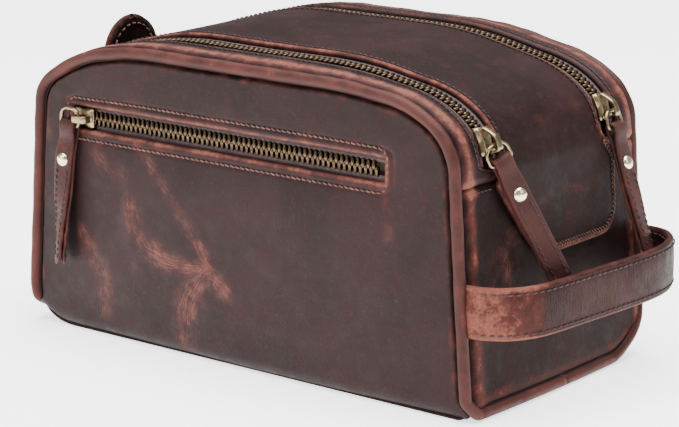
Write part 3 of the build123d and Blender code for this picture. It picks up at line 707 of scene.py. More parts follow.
def make_back_panel():
    edge = [0, 0.5, 1.0, 1.6, 2.3, 3.2, 4.4, 6.0, 8.0, 11.0]
    steps = 34
    loops = shrink([outline_loop(PANEL_INSET + e) for e in edge], PANEL_CORE, steps)
    grid = wrap_under(np.stack(loops, axis=1), 1.5)
    x, z = grid[..., 0], grid[..., 1]
    inset = PANEL_INSET + np.concatenate([edge, edge[-1] + INWARD * np.arange(1, steps + 1) / steps])[None]
    stand = panel_depth(x, z, inset, 0.0, TURN[1])
    p = settle(np.stack([x, PANEL_Y + stand, z], -1))
    wear = 0.5 * np.exp(-((inset - PANEL_INSET - 2.2) / 2.2) ** 2) + 0 * x
    strokes = [([(-70, 30), (-40, 44), (-12, 40), (8, 26)], 4.5, 0.7),
               ([(52, 92), (30, 76), (24, 58)], 4.0, 0.55),
               ([(88, 40), (76, 24)], 5.0, 0.6), ([(-96, 96), (-84, 74)], 3.5, 0.5)]
    skin("Back_panel", BAG, ["back_panel"], p, (0, 1, 0), wear, scuff_mask(x, z, strokes), closed=True,
         filled=True)


TURN = {-1: 8.0, 1: 15.0}  # how tightly the piping turns from the upright edge to the foot


def around_gusset(side, inside, lift, foot_lift, feet=True):
    """A line along the piping: from foot to foot over the top, turning in along both feet to the middle.

    The line keeps inside of the piping's own middle line, and moves from lift to foot_lift at the feet.
    """
    a = np.linspace(0, math.pi / 2, 12)
    turn = TURN[side]
    r = turn - inside
    s = np.concatenate([np.full(24, FOOT + inside), FOOT + turn - r * np.cos(a), [FOOT + turn + 6]])
    y = np.concatenate([np.linspace(0, PIPING_Y - turn, 25)[:-1], PIPING_Y - turn + r * np.sin(a),
                        [PIPING_Y - inside]])
    up = np.concatenate([np.full(24, foot_lift), foot_lift + (lift - foot_lift) * smooth(0.2, 1.4, a),
                         [lift]])
    if not feet:
        s, y, up = s[-2:], y[-2:], up[-2:]
    run = np.linspace(s[-1] + 1.5, ROUND - s[-1] - 1.5, 420)
    s = np.concatenate([s, run, ROUND - s[::-1]])
    y = np.concatenate([y, np.full(420, y[-1]), y[::-1]])
    up = np.concatenate([up, np.full(420, lift), up[::-1]])
    return band(s, side * y, up), s


def make_piping(side, label):
    path, s = around_gusset(side, -0.1, -PIPING_INSET, 1.4)
    path += 0.1 * unit(path - [0, 0, 70]) * np.sin(s / 3.1 + 2 * np.sin(s / 17))[:, None]
    k = 1 + 0.02 * np.sin(s / 5.3) + 0.015 * np.sin(s / 2.2 + 1)
    v, f = sweep(path, circle(PIPING_RADIUS + 0.12, 18), up=(0, side, 0), scale=k)
    wear = np.repeat(0.1 + 0.3 * (0.5 + 0.5 * ripple(path, 42)), 18)
    around = np.tile(np.cos(np.linspace(0, 2 * math.pi, 18, endpoint=False) - 0.6), len(s))
    to_mesh(f"{label}_piping", v, f, PIPING, "bag_body", [f"{label.lower()}_piping"], "piping_leather",
            wear + 0.14 * around)
    v, f = sweep(path, circle(1.3, 10), up=(0, side, 0))
    to_mesh(f"{label}_piping_cord", v, f, CORD, "bag_body", [f"{label.lower()}_piping_cord"], "cord_fibre")
    # Thin near-black tubes sunk along both sides of the piping: painted shadow in the seam grooves
    beside_gusset = around_gusset(side, 2.4, -1.6, 0.25)[0]
    beside_panel = around_gusset(side, 0.2, -PANEL_INSET + 0.1, 0.0, feet=False)[0]
    sew(f"{label}_piping_seam_shadow", [sweep(q, circle(0.4, 6)) for q in (beside_gusset, beside_panel)], SEAM_SHADOW)


# Near-black leather for the seam tubes beside the piping: painted seam shadow
SEAM_SHADOW = leather("Seam_shadow_leather", (0.004, 0.003, 0.003), (0.007, 0.005, 0.005), (0.02, 0.01, 0.008),
               (0.03, 0.015, 0.01))


# ---------------------------------------------------------------- leather that wraps the bag
def seam_roll(y):
    """The band's edge rolls up beside the piping, then dives into the seam."""
    a = np.abs(y)
    return 0.55 * hump(59.6, 4.0, a) - 2.8 * smooth(62.9, 65.5, a)


ACROSS = np.array([65.4, 64.8, 64.2, 63.6, 63.0, 62.2, 61.4, 60.6, 59.8, 58.8, 57.6, 56.0])


def make_gusset():
    y = np.concatenate([-ACROSS, np.linspace(-54, 54, 46), ACROSS[::-1]])
    s = np.concatenate([np.linspace(SEAM_LEFT - ROUND, -146, 44), np.linspace(-145, -112, 44),
                        np.linspace(-110, 110, 60),
                        np.linspace(112, 145, 44), np.linspace(146, SEAM_RIGHT, 44)])
    s, y = np.meshgrid(s, y, indexing="ij")
    edge = np.minimum(np.abs(s - (SEAM_LEFT - ROUND)), np.abs(s - SEAM_RIGHT))
    standing = smooth(FOOT - 5, FOOT + 4, np.abs(s))
    lift = seam_roll(y) * standing - 0.9 * (1 - smooth(0, 2.2, edge)) + 0.35 * hump(3.4, 2, edge)
    lift = (lift - 0.5 * hump(FOOT, 2.5, np.abs(s))
            + 0.3 * ripple(np.stack([s, y, 0 * s], -1), 48) * (1 - smooth(50, 60, np.abs(y))))
    p = band(s, y, lift)
    p[..., 2] = np.maximum(p[..., 2], 0.05)
    wear = 0.7 * hump(60.4, 4.4, np.abs(y)) * standing + 0.35 * hump(2.0, 2.0, edge)
    wear = np.maximum(wear, 0.5 * hump(FOOT + 5, 4.0, np.abs(s)))
    right = s > 0
    strokes = [([(-52, 40), (-44, 60), (-34, 72), (-24, 78)], 6.0, 0.6), ([(-38, 44), (-36, 62)], 4.6, 0.7),
               ([(-50, 60), (-40, 68), (-30, 60)], 5.0, 0.5),
               ([(-60, 66), (-40, 64)], 3.0, 0.3), ([(40, 12), (10, 9), (-40, 10)], 3.0, 0.3)]
    scuff, flow = scuff_mask(y, p[..., 2], strokes)
    scuff = np.where(right & (p[..., 2] > 4), scuff, 0.0)
    skin("Base_gusset", END, ["base_gusset"], p, outward_of(s), wear, (scuff, flow))


def outward_of(s):
    """Directions out of the band at lengths round the outline."""
    n = rim(s)[1]
    return np.stack([n[..., 0], np.zeros_like(n[..., 0]), n[..., 1]], -1)


STRIP_EDGE = ZIP_Y + ZIP_GAP


def make_strip(side, label):
    s1 = np.concatenate([np.linspace(SEAM_RIGHT + 0.15, SEAM_RIGHT + 22, 40),
                         np.linspace(SEAM_RIGHT + 23, SEAM_LEFT - 23, 190),
                         np.linspace(SEAM_LEFT - 22, SEAM_LEFT - 0.15, 40)])
    near = np.minimum(s1 - SEAM_RIGHT, SEAM_LEFT - s1)
    inner = STRIP_EDGE - 12.6 * (1 - smooth(3.0, 7.5, near))
    k = np.array([0, 0.04, 0.08, 0.12, 0.17, 0.22, 0.28, 0.34, 0.4, 0.47, 0.54, 0.61, 0.68, 0.74, 0.8, 0.85,
                  0.9,
                  0.94, 0.97, 1.0])
    y = 65.4 + (inner[:, None] - 65.4) * k[None]
    s = np.repeat(s1[:, None], len(k), 1)
    from_zip = (y - inner[:, None])
    end = np.repeat(near[:, None], len(k), 1)
    lift = seam_roll(y) - 0.9 * (1 - smooth(0.0, 2.2, end)) + 0.3 * hump(3.2, 1.6, end)
    lift = (lift - 0.9 * (1 - smooth(0, 1.0, from_zip)) + 0.25 * hump(1.7, 1.0, from_zip)
            - 0.35 * hump(3.0, 0.6, from_zip))
    lift = lift + 0.25 * ripple(np.stack([s, y, 0 * s], -1), 40)
    p = band(s, side * y, lift)
    wear = 0.85 * hump(60.8, 4.0, y) + 0.5 * hump(1.2, 1.4, from_zip) + 0.35 * hump(1.5, 2.0, end)
    skin(f"{label}_top_strip", BAG, [f"{label.lower()}_top_strip"], p, outward_of(s), wear)
    row = (s1 > SEAM_RIGHT + 9) & (s1 < SEAM_LEFT - 9)
    run = s1[row]
    q = band(run, side * (inner[row] + 3.0), 0.12)
    sew(f"{label}_strip_stitching", stitches(q, outward_of(run), 3.0, 2.3, 0.3, sink=0.0), THREAD_DARK)


def make_end_seams():
    """Short rows where the top strips meet the end leather."""
    rows = []
    for side in (-1, 1):
        for seam, sign in ((SEAM_RIGHT, -1), (SEAM_LEFT, 1)):
            y = np.linspace(40 if sign > 0 else 47, 61, 20) * side
            s = np.full(20, seam + sign * 2.6)
            rows += stitches(band(s, y, 0.15), outward_of(s), 2.6, 2.0, 0.3, sink=0.0)
    sew("End_seam_stitching", rows, THREAD_DARK)


def lid_edges(s):
    """The lid's front and back edges: straight along the zips, then round a tongue that slants."""
    z = rim(s)[0][..., 1]
    right = np.asarray(s) < ROUND / 2
    half = LID_HALF + (TONGUE_HALF - LID_HALF) * (1 - smooth(94, 107, z)) * right
    up = np.clip((z - TONGUE_BOTTOM) / TONGUE_CORNER, 0, 1)
    corner = TONGUE_CORNER * (1 - np.sqrt(np.clip(1 - (1 - up) ** 2, 0, 1))) * right
    slant = (TONGUE_HALF - TONGUE_FOOT) * np.clip((SEAM_Z - z) / (SEAM_Z - TONGUE_BOTTOM), 0, 1) * right
    return slant + 0.5 * corner - half, half - corner


def make_lid():
    s1 = np.concatenate([TONGUE_END + 26 * np.linspace(0, 1, 34) ** 1.6,
                         np.linspace(TONGUE_END + 27.2, SEAM_LEFT - 0.2, 210)])
    front, back = (e[:, None] for e in lid_edges(s1))
    k = np.concatenate([[0, 0.0075, 0.0175, 0.03, 0.045, 0.0625, 0.085], np.linspace(0.11, 0.89, 30),
                        [0.915, 0.9375, 0.955, 0.97, 0.9825, 0.9925, 1]])
    y = front + (back - front) * k[None]
    s = np.repeat(s1[:, None], len(k), 1)
    z = rim(s)[0][..., 1]
    right = s < ROUND / 2
    tongue = (1 - smooth(101, 112, z)) * right
    tip = np.where(right, s - TONGUE_END, 99.0)
    edge = np.minimum(np.minimum(y - front, back - y), tip)
    lift = (TONGUE_LIFT * tongue - 0.8 * (1 - smooth(0, 1.0, edge)) + 0.22 * hump(1.7, 1.0, edge)
            - 0.35 * hump(3.1, 0.6, edge))
    lift = lift + 0.35 * ripple(np.stack([s, y, 0 * s], -1), 55) * smooth(2, 9, edge)
    left_end = SEAM_LEFT - s
    lift = lift - 0.8 * (1 - smooth(0, 2.0, left_end))
    p = band(s, y, lift)
    wear = 0.7 * hump(1.1, 1.5, edge) + 0.12 * hump(3, 4, edge) + 0.3 * hump(1.5, 2, left_end)
    strokes = [([(-14, 85), (8, 88), (24, 84), (34, 86)], 2.6, 0.34), ([(8, 74), (22, 72)], 3.4, 0.2),
               ([(26, 121), (36, 112)], 4.5, 0.36), ([(-30, 128), (-10, 126)], 5.0, 0.15)]
    scuff, flow = scuff_mask(y, z, strokes)
    scuffed = np.where(right, scuff, 0.0), flow
    lid = ["lid_panel", "lid_root", "zip_root_tapes", "zip_root_teeth"]
    bend_with_lid(skin("Lid_and_tongue", LID, lid, p, outward_of(s), wear, scuffed, None))
    # Dark rows beside the zips, and a light zigzag pair round the tongue
    rows, light = [], []
    for k in (0, 1):
        run = s1[(rim(s1)[0][:, 1] > 108) & (s1 < SEAM_LEFT - 6)]
        q = band(run, lid_edges(run)[k] + (3.1, -3.1)[k], 0.1)
        rows += stitches(q, outward_of(run), 3.0, 2.3, 0.3, sink=0.0)
    bend_with_lid(sew("Lid_stitching", rows, THREAD_DARK, None))
    down = TONGUE_BOTTOM + 0.02 + (104 - TONGUE_BOTTOM) * np.linspace(1, 0, 70) ** 1.7
    front, back = lid_edges(station_many(down))
    line = np.vstack([np.stack([front, down], -1), np.stack([back, down], -1)[::-1]])
    line = resample(line, count=150)
    inward = unit(np.gradient(line, axis=0)) @ np.array([[0, 1], [-1, 0]])
    inward = unit(np.stack([np.convolve(np.pad(c, 3, "edge"), np.ones(7) / 7, "valid") for c in inward.T],
                           -1))
    for off, slant in ((2.2, 0.6), (3.4, -0.6)):
        q = line + off * inward
        ss = station_many(q[:, 1])
        light += stitches(band(ss, q[:, 0], TONGUE_LIFT + 0.05), outward_of(ss), 2.1, 1.7, 0.26, slant=slant,
                          sink=0.0)
    sew("Tongue_stitching", light, THREAD, "lid")


def station_many(z):
    """Lengths round the outline at heights on the right end wall."""
    half = OUT_S < ROUND / 2
    keep = half & (OUT_P[:, 0] > 90)
    return np.interp(z, OUT_P[keep, 1], OUT_S[keep])


LID = leather("Lid_leather", (0.0075, 0.0033, 0.0034), (0.0165, 0.0072, 0.0072), RED, TAN, (0.48, 0.72),
              seed=0.9, sheen=0.11)


# ---------------------------------------------------------------- zips
def tooth_rows(places, along, across, outward):
    """Separate metal teeth. across points from each tooth's tape towards the zip's middle."""
    stations = [(-3.4, 0.6, 0.7), (-3.1, 0.8, 1.0), (-1.5, 0.72, 1.05), (-0.9, 0.84, 1.2),
                (0.35, 0.78, 1.15), (0.7, 0.4, 0.65)]
    corner = np.array([(-1, -0.6), (-0.6, -1), (0.6, -1), (1, -0.6), (1, 0.6), (0.6, 1), (-0.6, 1),
                       (-1, 0.6)])
    verts, faces, rows, cols = [], [], len(stations), 8
    for c, t, w, n in zip(places, along, across, outward):
        base = len(verts) * rows * cols
        ring = [c + w * a + np.outer(corner[:, 0] * ht, t) + np.outer(corner[:, 1] * hn, n)
                for a, ht, hn in stations]
        verts.append(np.vstack(ring))
        faces += grid_faces(rows, cols, base)
    level = np.tile(np.repeat([0.6, 0.45, 0.3, 0.1, 0.0, 0.4], cols), len(verts))
    sunk = np.tile(np.where(corner[:, 1] > 0, 0.0, 0.5), rows * len(verts))
    return np.vstack(verts), faces, level + sunk


def top_row(s, side, inner):
    """Tooth places and directions for one row of a top zip."""
    y = np.full(len(s), side * ZIP_Y)
    c = band(s, y, -CHAIN_DROP + 0.35)
    t = unit(band(s + 0.5, y, -CHAIN_DROP) - band(s - 0.5, y, -CHAIN_DROP))
    across = np.tile([0.0, side * (1 if inner else -1), 0.0], (len(s), 1))
    return c, t, across, unit(np.cross(t, across)) * (-1 if inner == (side > 0) else 1)


def make_top_zip(side, label):
    right_end = station(z=113.0)
    left_end = SEAM_LEFT - 6.5
    count = int((left_end - right_end) / TOOTH_PITCH)
    outer_s = right_end + TOOTH_PITCH * np.arange(count)
    inner_s = outer_s + TOOTH_PITCH / 2
    for inner, s in ((False, outer_s), (True, inner_s)):
        c, t, a, n = top_row(s, side, inner)
        up = outward_of(s)
        n = np.where((n * up).sum(-1, keepdims=True) < 0, -n, n)
        v, f, old = tooth_rows(c, t, a, n)
        name = f"{label}_zip_{'inner' if inner else 'outer'}_teeth"
        o = to_mesh(name, v, f, TEETH, None if inner else "bag_body", [name.lower()], "zip_metal", old)
        if inner:
            bend_with_lid(o)
    for inner in (False, True):
        s1 = np.linspace(station(z=103.0), SEAM_LEFT - 2.0, 200)
        reach = np.array([2.9, 3.1, 3.4, 3.9, 4.4, 5.0, 6.5, 8.0, 10.0])
        s, w = np.meshgrid(s1, reach, indexing="ij")
        y = side * (ZIP_Y + (-w if inner else w))
        lift = -CHAIN_DROP + 0.3 + 0.55 * hump(3.9, 0.6, w) - 0.25 * smooth(5, 7, w)
        v, f, _ = sheet(band(s, y, lift), 0.6, outward_of(s))
        name = f"{label}_zip_{'inner' if inner else 'outer'}_tape"
        o = to_mesh(name, v, f, TAPE, None if inner else "bag_body", [name.lower()], "zip_tape")
        if inner:
            bend_with_lid(o)


def make_pocket_zip():
    x0, x1 = WINDOW[0] + 1.5, WINDOW[1] - 1.5
    count = int((x1 - x0) / TOOTH_PITCH)
    y = -65.95
    for label, side, start in (("upper", 1, 0.0), ("lower", -1, TOOTH_PITCH / 2)):
        x = x0 + start + TOOTH_PITCH * np.arange(count)
        c = settle(np.stack([x, np.full(count, y), np.full(count, POCKET_Z)], -1))
        one = np.ones((count, 1))
        v, f, old = tooth_rows(c, one * [1, 0, 0], one * [0, 0, -side], one * [0, -1, 0])
        to_mesh(f"Pocket_{label}_teeth", v, f, TEETH, "bag_body", [f"pocket_{label}_teeth"], "zip_metal", old)
        x1s = np.linspace(-100, 85, 140)
        reach = np.array([2.9, 3.1, 3.4, 3.9, 4.4, 5.0, 6.5, 8.0, 10.5])
        xs, w = np.meshgrid(x1s, reach, indexing="ij")
        out = 0.5 * hump(3.9, 0.6, w) - 0.15
        p = settle(np.stack([xs, y - out + 0.2, POCKET_Z + side * w], -1))
        v, f, _ = sheet(p, 0.6, (0, -1, 0))
        to_mesh(f"Pocket_{label}_tape", v, f, TAPE, "bag_body", [f"pocket_{label}_tape"], "zip_tape")


# ---------------------------------------------------------------- sliders, rings and pulls
JOINTS = {j["name"]: j for j in frame["joints"]}


def joint_point(name):
    return np.array(JOINTS[name]["pos_m"]) / MM


def lathe(profile, axis, centre, count=24):
    """A turned solid: profile points (radius, height) about axis through centre."""
    axis = unit(axis)
    ref = unit(np.cross(axis, [0.3, 0.9, 0.2]))
    other = np.cross(axis, ref)
    a = np.linspace(0, 2 * math.pi, count, endpoint=False)
    rings = [centre + axis * h + r * (np.outer(np.cos(a), ref) + np.outer(np.sin(a), other))
             for r, h in profile]
    return np.vstack(rings), grid_faces(len(profile), count)


def strap_frame(label, roll):
    """A pull's origin on its ring, and its directions: along, across and outward."""
    origin, eye = joint_point(f"{label}_pull_swing"), joint_point(f"{label}_ring_swing")
    if label == "pocket":
        along = unit([-math.sin(POCKET_PULL_LEAN), 0.0, -math.cos(POCKET_PULL_LEAN)])
        out = np.array([0.0, -1.0, 0.0])
    else:
        along = unit(origin - eye)
        out = np.cross(unit(JOINTS[f"{label}_pull_swing"]["axis"]), along)
        out = out if out[0] > 0 else -out
    side = np.cross(along, out)
    return (origin, along, side * math.cos(roll) + out * math.sin(roll),
            out * math.cos(roll) - side * math.sin(roll))


def strap_point(label, a, w, n, roll, twist, bend, drift):
    """Strap coordinates (along, across, outward) to the bag's frame, with the strap's own bend and twist."""
    origin, along, side, out = strap_frame(label, roll)
    turn = twist * smooth(18, 62, a)
    w2 = w * np.cos(turn) - n * np.sin(turn) + drift * np.sin(np.clip(a / 60.0, 0, 1.2) * math.pi)
    n2 = w * np.sin(turn) + n * np.cos(turn)
    p = origin + a[..., None] * along + w2[..., None] * side + n2[..., None] * out
    clear = 1.7 * smooth(5, 15, a) if label == "pocket" else 0.0 * a
    p = p + (bend * (a / 57.0) ** 2 + clear)[..., None] * strap_frame(label, 0.0)[3]
    return p, along, side, out


def make_ring(label, roll):
    """A ring of round wire, rounder where it hangs and square where it holds the pull."""
    title = label.capitalize()
    origin, along, side, out = strap_frame(label, roll)
    top, low, half, long = 3.8, 1.5, 5.4, 7.8
    corners = [(top, half - top, top, 90, 180), (top, top - half, top, 180, 270),
               (long - low, low - half, low, 270, 360), (long - low, half - low, low, 0, 90)]
    flat = [(u + r * math.cos(math.radians(d)), w + r * math.sin(math.radians(d)))
            for u, w, r, start, end in corners for d in np.linspace(start, end, 9)]
    flat = resample(np.array(flat), count=72, closed=True)
    path = origin + (flat[:, :1] - long) * along + flat[:, 1:] * side
    v, f = sweep(path, circle(0.85, 12), closed=True, up=out)
    to_mesh(title + "_ring", v, f, BRASS, f"{label}_ring", [f"{label}_ring"], "zip_metal")


def make_slider(label):
    """A zip slider: waisted plates with turned-down sides, and an arched bridge for the ring."""
    title = label.capitalize()
    if label == "pocket":
        along, across, out = np.array([-1.0, 0, 0]), np.array([0, 0, 1.0]), np.array([0, -1.0, 0])
        eye_along, bow = 0.0, 0.0
    else:
        rise, run = math.cos(SLIDER_LEAN), math.sin(SLIDER_LEAN)
        along, across, out = np.array([run, 0, -rise]), np.array([0, 1.0, 0]), np.array([rise, 0, run])
        eye_along, bow = 3.0, 1 / 71.0
    seat = joint_point(f"{label}_ring_swing") - 5.2 * out - eye_along * along
    shells = []
    for face in (1, -1):
        t = np.array([-6, -5.75, -5.2, -4.2, -3, -1.8, -0.6, 0.6, 1.8, 3, 4.2, 5.2, 5.75, 6])
        wide = 4.9 - 0.5 * hump(0.8, 2.6, t) - 0.35 * smooth(5.2, 6.0, np.abs(t))
        crown = wide - 0.8 - 1.3 * hump(0.8, 2.8, t)
        high = 3.15 - 0.5 * smooth(4.8, 6.0, np.abs(t))
        inner = np.minimum(4.1, wide - 0.35)
        rows = [np.stack([np.array([-w, -w, -c, -c + 0.6, c - 0.6, c, w, w, i, i, -i, -i]),
                          face * np.array([0.65, 1.7, h - 0.25, h, h, h - 0.25, 1.7, 0.65, 0.65, 1.9, 1.9,
                                           0.65])], -1)
                for w, c, h, i in zip(wide, crown, high, inner)]
        rows = np.array(rows)
        p = (seat + t[:, None, None] * along + rows[..., :1] * across
             + (rows[..., 1:] - bow * t[:, None, None] ** 2) * out)
        shells.append((p.reshape(-1, 3), grid_faces(*rows.shape[:2])))
    to_mesh(title + "_slider_body", *join_shapes(shells), BRASS, f"{label}_slider", [f"{label}_slider_body"],
            "zip_metal")
    rise = eye_along - 3.2
    arch = curve_through([(-5.3, 2.7), (-4.6, 3.9), (rise - 1.2, 6.9), (rise + 0.8, 7.9),
                          (eye_along + 1.3, 8.0), (min(eye_along + 2.6, 5.3), 7.1),
                          (min(eye_along + 2.8, 5.4), 5.0), (min(eye_along + 2.8, 5.4), 2.7)], 40)
    section = np.array([(-0.45, -1.6), (0.45, -1.6), (0.62, -1.3), (0.62, 1.3), (0.45, 1.6), (-0.45, 1.6),
                        (-0.62, 1.3), (-0.62, -1.3)])
    v, f = sweep(seat + arch[:, :1] * along + arch[:, 1:] * out, section, up=across)
    to_mesh(title + "_slider_bridge", v, f, BRASS, f"{label}_slider", [f"{label}_slider_bridge"], "zip_metal")


def make_pull(label, length, roll=0.0, twist=0.0, bend=0.0, drift=0.0, taper=0.0):
    """One leather strip folded round the ring and stitched to itself, with a rivet through both leaves."""
    title = label.capitalize()
    tip_rows = np.array([0, 0.12, 0.35, 0.65, 1.0, 1.5, 2.1, 2.8, 3.6, 4.3])
    a_out = np.concatenate([length - tip_rows, np.linspace(length - 5, 7.5, 34), [6.0, 4.8, 3.6, 2.4, 1.2]])
    n_out = LEAF + 1.15 * (1 - smooth(0.5, 8.0, a_out))
    ang = np.linspace(90, 270, 13)[1:-1]
    a_mid, n_mid = 2.9 * np.cos(np.radians(ang)), 2.9 * np.sin(np.radians(ang))
    a = np.concatenate([a_out, a_mid, a_out[::-1]])
    n = np.concatenate([n_out, n_mid, -n_out[::-1]])
    half = PULL_HALF - 0.7 * (1 - smooth(2, 12, a)) - taper * smooth(26, length, a)
    tip = np.clip((length - a) / 4.2, 0, 1)
    half = half - 4.0 * (1 - np.sqrt(np.clip(1 - (1 - tip) ** 2, 0, 1)))
    k = np.array([-1, -0.94, -0.85, -0.7, -0.5, -0.25, 0, 0.25, 0.5, 0.7, 0.85, 0.94, 1])
    A, K = np.meshgrid(a, k, indexing="ij")
    W = half[:, None] * k[None]
    outer_sign = np.sign(n)[:, None]
    N = n[:, None] + outer_sign * (0.25 * (1 - K ** 2) - 0.35 * smooth(0.86, 1.0, np.abs(K)))
    N = N + outer_sign * 0.18 * np.sin(A / 2.1 + 3 * np.sin(A / 9)) * smooth(20, 30, A)
    way = roll, twist, bend, drift
    p, _, _, out = strap_point(label, A, W, N, *way)
    centre = strap_point(label, A, W * 0, N * 0, *way)[0]
    v, f, (wr,) = sheet(p, 1.5, p - centre,
                        values=(0.22 + 0.2 * smooth(0.7, 1.0, np.abs(K)) + 0.15 * ripple(p, 24),))
    to_mesh(title + "_pull", v, f, PULL, f"{label}_pull", [f"{label}_pull"], "pull_leather", wr,
            0.25 + 0 * wr)
    rows = []
    aa = np.linspace(22, length - 4.5, 40)
    for face in (1, -1):
        for w0 in (-3.1, 3.1):
            ww = w0 * np.interp(aa, a_out[::-1], (half[:len(a_out)] / PULL_HALF)[::-1])
            q = strap_point(label, aa, ww, np.full(40, face * (LEAF + 0.2)), *way)[0]
            base = strap_point(label, aa, ww, np.zeros(40), *way)[0]
            rows += stitches(q, unit(q - base), 3.0, 2.2, 0.27, slant=0.2 * face, sink=0.03)
    sew(title + "_pull_stitching", rows, THREAD_DARK, f"{label}_pull")
    at = np.array([16.0])
    c = strap_point(label, at, at * 0, at * 0, *way)[0][0]
    dome = [(0.02, 1.5), (0.5, 1.49), (1.2, 1.42), (2.1, 1.15), (2.75, 0.75), (3.15, 0.25), (3.2, 0.0),
            (3.0, -0.25), (1.3, -0.4), (1.3, -2.2)]
    shapes = [lathe([(r, h * k + LEAF + 0.1) for r, h in dome], d * out, c)
              for d, k in ((1, 1.0), (-1, 0.25))]
    to_mesh(title + "_pull_rivet", *join_shapes(shapes), RIVET, f"{label}_pull", [f"{label}_pull_rivet"],
            "rivet_metal")


# ---------------------------------------------------------------- handle and grab tab
def curve_through(points, count):
    """A smooth line through a few points, evenly spaced."""
    p = np.asarray(points, float)
    ext = np.vstack([2 * p[0] - p[1], p, 2 * p[-1] - p[-2]])
    out = []
    for i in range(1, len(ext) - 2):
        a, b, c, d = ext[i - 1:i + 3]
        for t in np.linspace(0, 1, 24, endpoint=False):
            out.append(0.5 * (2 * b + (c - a) * t + (2 * a - 5 * b + 4 * c - d) * t * t
                              + (3 * b - a - 3 * c + d) * t ** 3))
    out.append(p[-1])
    return resample(np.array(out), count=count)


HANDLE_PLAN = [(121.5, -66.2), (126.5, -66.4), (132.5, -65.2), (141, -60), (147, -51), (150, -39.5),
               (152.8, -14), (154.8, 10), (155.4, 30), (153.2, 45), (147.8, 57.5), (139.5, 65.6),
               (131, 68.2), (125.5, 68.0), (121.5, 66.4)]


def make_handle():
    middle, reach = 48.45, 10.95
    plan = curve_through(HANDLE_PLAN, 150)
    tangent = unit(np.gradient(plan, axis=0))
    out2 = np.stack([tangent[:, 1], -tangent[:, 0]], -1)
    k = np.array([-1, -0.975, -0.94, -0.89, -0.82, -0.74, -0.6, -0.4, -0.2, 0, 0.2, 0.4, 0.6, 0.74, 0.82,
                  0.89, 0.94, 0.975, 1])
    z = middle + reach * k
    s = np.linspace(0, 1, len(plan))
    grid = np.zeros((len(plan), len(k), 3))
    swell = (0.55 * (1 - k[None] ** 2) - 0.35 * smooth(0.93, 1, np.abs(k))[None]
             - 0.3 * hump(0.8, 0.05, np.abs(k))[None])
    rise = 0.9 * np.sin(s * math.pi) - 0.5
    grid[..., :2] = plan[:, None] + out2[:, None] * swell[..., None]
    grid[..., 2] = z[None] + rise[:, None]
    grid[..., 0] += 0.25 * ripple(grid, 26)
    outward = np.stack([out2[:, 0], out2[:, 1], 0 * s], -1)[:, None] * np.ones((1, len(k), 1))
    wear = (0.1 + 0.75 * (1 - smooth(0.05, 0.36, s))[:, None] + 0.35 * smooth(0.8, 1.0, np.abs(k))[None]
            + 0.3 * smooth(0.9, 1, -k)[None])
    wear = wear + 0 * grid[..., 0]
    scuff = 0.25 * hump(0.5, 0.3, s)[:, None] + 0.8 * smooth(0.96, 1.0, -k)[None] + 0 * grid[..., 0]
    v, f, (wr, sc) = sheet(grid, 3.3, outward, values=(wear, scuff))
    swing_with_handle(to_mesh("Side_handle", v, f, HANDLE, None, ["handle", "handle_ends"], "handle_leather",
                              wr, sc))
    rows = []
    use = slice(9, -9)
    for height in (0.79, -0.79):
        for face, depth in ((1, 0.1), (-1, -3.45)):
            flat = plan + out2 * depth
            q = np.stack([flat[:, 0], flat[:, 1], middle + reach * height + rise], -1)[use]
            rows += stitches(q, outward[use, 0] * face, 3.6, 2.5, 0.34, slant=0.12, sink=0.0)
    swing_with_handle(sew("Handle_stitching", rows, THREAD_DARK, None))


def make_tab():
    root = joint_point("tab_flex")
    lean = math.radians(10.0)
    round_from, radius, sewn = 21, 17.0, 12.8
    t1 = np.concatenate([np.linspace(-2.0, 20, 24), round_from + radius * np.sin(np.linspace(0, 1.5, 26))])
    turned = np.sqrt(np.clip(1 - ((t1 - round_from) / radius) ** 2, 0, 1))
    half = np.where(t1 > round_from, radius * turned, radius)
    k = np.array([-1, -0.96, -0.9, -0.83, -0.75, -0.6, -0.4, -0.2, 0, 0.2, 0.4, 0.6, 0.75, 0.83, 0.9, 0.96,
                  1])
    T = np.repeat(t1[:, None], len(k), 1)
    W = half[:, None] * k[None]
    up = np.array([-math.sin(lean) * 0.55, 0, math.cos(lean)])
    out = np.array([-math.cos(lean), 0, -math.sin(lean) * 0.55])
    edge = np.minimum(half[:, None] - np.abs(W), round_from + radius - T)
    thick = 0.25 * hump(1.8, 1.2, edge) - 0.25 * hump(4.2, 0.8, edge) - 0.5 * (1 - smooth(0, 0.9, edge))

    def place(t, w, n):
        n = n - 0.0035 * (t - 10) ** 2 * (t > 10)
        return (root + 1.07 * t[..., None] * up + 1.06 * w[..., None] * np.array([0, 1.0, 0])
                + n[..., None] * out)

    p = place(T, W, 2.7 + thick)
    v, f, (wr,) = sheet(p, 3.0, out, values=(0.12 + 0.5 * hump(0.5, 1.3, edge),))
    to_mesh("Left_grab_tab", v, f, END, "left_tab", ["left_tab"], "bag_leather", wr)
    rows = []
    a = np.linspace(-1.45, 1.45, 60)
    arch = [(round_from + sewn * math.cos(u), sewn * math.sin(u)) for u in a]
    arch = [(2.0, -sewn), (20.5, -sewn)] + arch + [(20.5, sewn), (2.0, sewn)]
    arch = resample(np.array(arch), count=90)
    for face, depth in ((1, 2.75), (-1, -0.45)):
        q = place(arch[:, 0], arch[:, 1], depth)
        rows += stitches(q, out * face, 3.8, 2.4, 0.4, sink=0.0)
    sew("Grab_tab_stitching", rows, THREAD, "left_tab")


# ---------------------------------------------------------------- linings and pouch
def cloth_sag(p, amount, size=28):
    return amount * (0.7 * ripple(p, size) + 0.3 * ripple(np.asarray(p)[..., [1, 2, 0]], size / 2.3))


